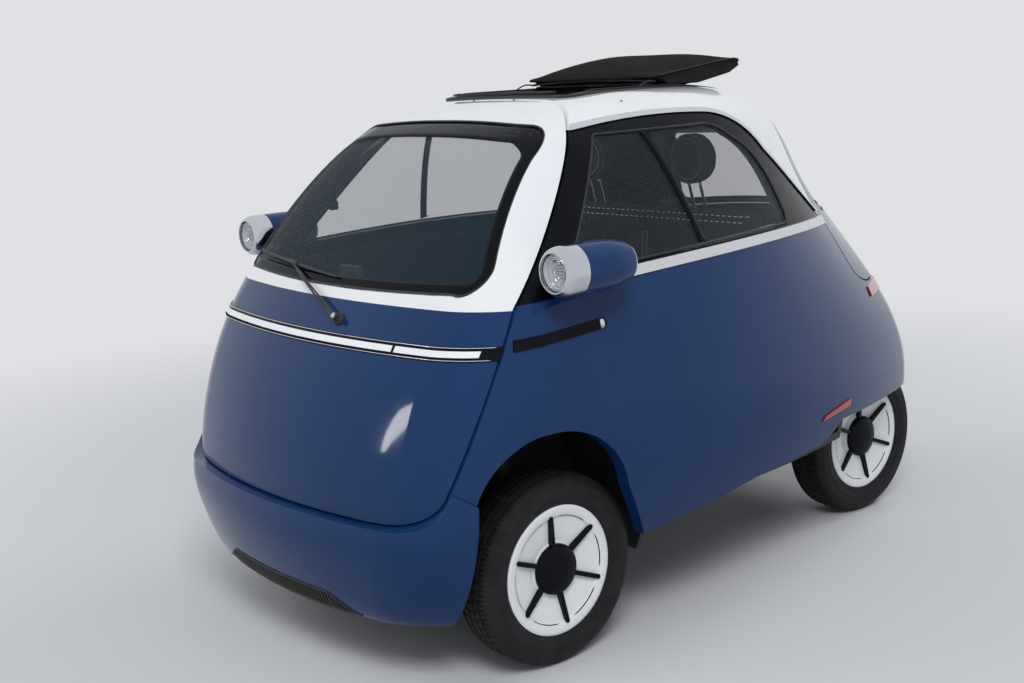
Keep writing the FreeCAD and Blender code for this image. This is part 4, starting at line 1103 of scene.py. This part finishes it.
def swollen(name, rings, pinned, cap):
    """Closed form that is filled from inside by a short cloth simulation, held where the seams are."""
    piece = loft(name, rings, "seat_cloth")
    remesh = piece.modifiers.new("remesh", "REMESH")
    remesh.mode = "VOXEL"
    remesh.voxel_size = VOXEL
    mesh = bpy.data.meshes.new_from_object(evaluated(piece))
    piece.modifiers.clear()
    piece.data = mesh
    start = [vertex.co.copy() for vertex in piece.data.vertices]
    pins = [v.index for v in piece.data.vertices if pinned(v.co, v.normal)]
    piece.vertex_groups.new(name="pins").add(pins, 1.0, "REPLACE")
    modifier = piece.modifiers.new("cloth", "CLOTH")
    settings = modifier.settings
    settings.vertex_group_mass = "pins"
    settings.use_pressure = True
    settings.uniform_pressure_force = 4
    settings.effector_weights.gravity = 0
    settings.quality = 4
    modifier.collision_settings.use_collision = False
    scene = bpy.context.scene
    for step in range(1, 21):
        scene.frame_set(step)
    moved = [vertex.co.copy() for vertex in evaluated(piece).data.vertices]
    piece.modifiers.clear()
    scene.frame_set(1)
    for vertex, a, b in zip(piece.data.vertices, start, moved):
        step = b - a
        if step.length > cap:
            step *= cap / step.length
        vertex.co = a + step
    piece.vertex_groups.clear()
    return piece


def channel(piece, depth, width, reach):
    """Presses seams into a cover. reach gives the distance to the nearest seam, or None away from all."""
    piece.data.update()
    moves = []
    for vertex in piece.data.vertices:
        distance = reach(vertex.co, vertex.normal)
        amount = depth * math.exp(-(distance / width) ** 2) if distance is not None else 0
        fine = 0.0006 * math.sin(41 * vertex.co.x + 3 * math.sin(23 * vertex.co.y + 19 * vertex.co.z))
        moves.append(vertex.co - vertex.normal * (amount + fine))
    for vertex, place_at in zip(piece.data.vertices, moves):
        vertex.co = place_at
    piece.data.polygons.foreach_set("use_smooth", [True] * len(piece.data.polygons))
    piece.data.update()
    subdivided(piece)


def seam_rows(name, tree, side, start, end):
    """A row of stitches on either side of each seam that runs over a cushion."""
    for k, x in enumerate(SEAMS_X):
        for row, offset in (("a", -0.010), ("b", 0.010)):
            stitches("%s_%d%s" % (name, k, row),
                     [landed(tree, side, x + offset, v) for v in spread(start, end, 40)])


def base_reach(p, n):
    if n.z < 0.35:
        return None
    distances = [abs(p.x - x) for x in SEAMS_X]
    if abs(p.x) < SEAMS_X[2]:
        distances += [abs(p.y - y) for y in BASE_SEAMS_Y]
    return min(distances)


def back_reach(p, n):
    if n.y > -0.35:
        return None
    distances = [abs(p.x - x) for x in SEAMS_X] + [abs(p.z - 1.071)]
    if abs(p.x) < SEAMS_X[2] and p.z < 1.06:
        distances += [abs(p.z - z) for z in BACK_SEAMS_Z]
    return min(distances)


def seat_base():
    rings = []
    for z, inset in BASE_RINGS:
        line = rounded_rectangle((-0.468 + inset, -0.128 + inset), (0.468 - inset, 0.328 - inset),
                                 0.060 - inset * 0.4)
        drop = 0.020 if z > 0.5 else 0
        rings.append([vec(p.x, p.y, z - drop * max((-0.02 - p.y) / 0.11, 0) ** 2) for p in line])
    piece = swollen("seat_base_cover", rings, lambda p, n: p.z < 0.372 or (base_reach(p, n) or 1) < 0.006,
                    0.011)
    channel(piece, 0.0045, 0.0065, base_reach)
    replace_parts(piece, "seat_base")
    tree = tree_of(piece)
    line = even_points(rounded_rectangle((-0.462, -0.122), (0.462, 0.322), 0.055, 12), 220)
    welt = [tree.find_nearest(vec(p.x, p.y, 0.545 - 0.016 * max((-0.02 - p.y) / 0.11, 0)))[:2] for p in line]
    tube("seat_base_welt", [hit + normal * 0.0006 for hit, normal in welt], 0.0028, "black_plastic",
         slot="seat_cloth", closed=True, sides=8)
    seam_rows("seat_base_stitch", tree, "top", -0.085, 0.215)


def seat_back():
    rings = []
    for z, inset in BACK_RINGS:
        lean = (min(z, 1.06) - 0.590) / 0.470
        front = 0.235 + 0.033 * lean + max(z - 1.060, 0) * 0.35
        rear = 0.330 + 0.042 * lean
        line = rounded_rectangle((-0.453 + inset, front + inset), (0.453 - inset, rear - inset),
                                 0.030 - inset * 0.3, 6)
        rings.append([vec(p.x, p.y, z) for p in even_points(line, 160)])
    piece = swollen("seat_back_cover", rings,
                    lambda p, n: p.z < 0.600 or n.y > 0.75 or (back_reach(p, n) or 1) < 0.006, 0.010)
    channel(piece, 0.0045, 0.0065, back_reach)
    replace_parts(piece, "seat_back")
    tree = tree_of(piece)
    for k, z in enumerate((1.062, 1.080)):
        row = [landed(tree, "front", x, z) for x in spread(-0.435, 0.435, 90)]
        stitches("seat_back_stitch_%d" % k, row, length=0.0150, gap=0.0090, radius=0.0016)
    seam_rows("seat_back_seam", tree, "front", 0.62, 1.02)


def headrest(side, sign):
    """Round drum cushion with a welt round the face and a ring of stitching, on bright posts."""
    at = vec(sign * 0.235, 0.2275, 1.262)
    piece = lathe("headrest_cover_" + side, HEADREST, at, (0, 1, 0), "seat_cloth", steps=72)
    for vertex in piece.data.vertices:
        offset = vertex.co - at
        angle = math.atan2(offset.z, offset.x)
        wave = 0.0009 * math.sin(5 * angle + 40 * offset.y) + 0.0006 * math.sin(11 * angle - 60 * offset.y)
        radial = vec(offset.x, 0, offset.z)
        if radial.length > 0.03:
            vertex.co -= radial.normalized() * abs(wave)
    subdivided(piece)
    if sign == 1:
        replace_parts(piece, "headrests")
    welt = [at + vec(0.0775 * math.cos(a), 0.0105, 0.0775 * math.sin(a)) for a in angles(72)]
    tube("headrest_welt_" + side, welt, 0.0020, "black_plastic", slot="seat_cloth", closed=True, sides=8)
    tree = tree_of(piece)
    ring = [landed(tree, "front", at.x + 0.0640 * math.cos(a), at.z + 0.0640 * math.sin(a))
            for a in spread(0, TURN, 72)]
    stitches("headrest_stitch_" + side, ring, length=0.0042, gap=0.0030, radius=0.0007)
    for k, offset in enumerate((-0.024, 0.024)):
        post = [vec(at.x + offset, 0.262 + 0.030 * t, 1.190 - 0.1035 * t) for t in spread(0, 1, 8)]
        tube("headrest_post_%s_%d" % (side, k), post, 0.0048, "chrome", sides=16)
        lathe("headrest_collar_%s_%d" % (side, k), COLLAR, post[-1] - vec(0, 0, 0.0005), (0, 0, 1),
              "black_plastic", steps=24)


seat_base()
seat_back()
for side, sign in SIDES:
    headrest(side, sign)


# Door trim: padded roll with a stitched seam, and the instrument hood over the column

COLUMN_TOP = vec(0.270, -0.500, 0.850)
COLUMN_ALONG = vec(0, 0.86, 0.51).normalized()
COLUMN_UP = vec(0, -0.51, 0.86).normalized()
HOOD_ROWS = ((-0.200, 0.050, 0.040), (-0.192, 0.075, 0.062), (-0.160, 0.105, 0.086), (-0.110, 0.122, 0.098),
             (-0.075, 0.128, 0.104), (-0.060, 0.128, 0.104), (-0.058, 0.125, 0.101), (-0.060, 0.121, 0.097),
             (-0.085, 0.116, 0.092))
HOOD_SEAM = 4
DIAL_RING = [(-0.0005, 0.0330), (0.0020, 0.0345), (0.0045, 0.0360), (0.0030, 0.0385), (-0.0005, 0.0390)]


def on_column(s, height):
    return COLUMN_TOP + COLUMN_ALONG * s + COLUMN_UP * height


def dash_stitching():
    trim = surface("door_inner_trim")
    for k, sign in enumerate((-1, 1)):
        line = [landed(trim, "top", sign * x, -0.8720 - 0.060 * max((x - 0.36) / 0.14, 0) ** 2)
                for x in spread(0.008, 0.500, 80)]
        stitches("door_trim_stitch_%d" % k, line, "door", "black_plastic", 0.0085, 0.0050, 0.0011)


def instrument_hood():
    """Hooded binnacle on the column: an arched shell with a stitched rim and two round dials inside."""
    rings = []
    for s, half, height in HOOD_ROWS:
        ring = []
        for angle in angles(64):
            c = math.cos(angle)
            v = math.sin(angle)
            rise = height * v ** 0.85 if v > 0 else -0.030 * abs(v) ** 0.5
            ring.append(on_column(s, 0.012 + rise) + vec(half * math.copysign(abs(c) ** 0.75, c), 0, 0))
        rings.append(ring)
    loft("instrument_hood", rings, "black_plastic")
    middle = on_column(HOOD_ROWS[HOOD_SEAM][0], 0.012)
    line = [(p + (p - middle).normalized() * 0.0004, (p - middle).normalized())
            for p in rings[HOOD_SEAM][3:30]]
    stitches("instrument_hood_stitch", line, "body", "black_plastic", 0.0055, 0.0035, 0.0010)
    for k, offset in enumerate((-0.056, 0.056)):
        centre = on_column(-0.0845, 0.052) + vec(offset, 0, 0)
        lathe("dial_ring_%d" % k, DIAL_RING, centre, COLUMN_ALONG, "chrome", steps=56)
        lathe("dial_face_%d" % k, [(0.0008, 0.0335), (0.0008, 0.0)], centre, COLUMN_ALONG, "gloss_black",
              steps=56)


dash_stitching()
instrument_hood()
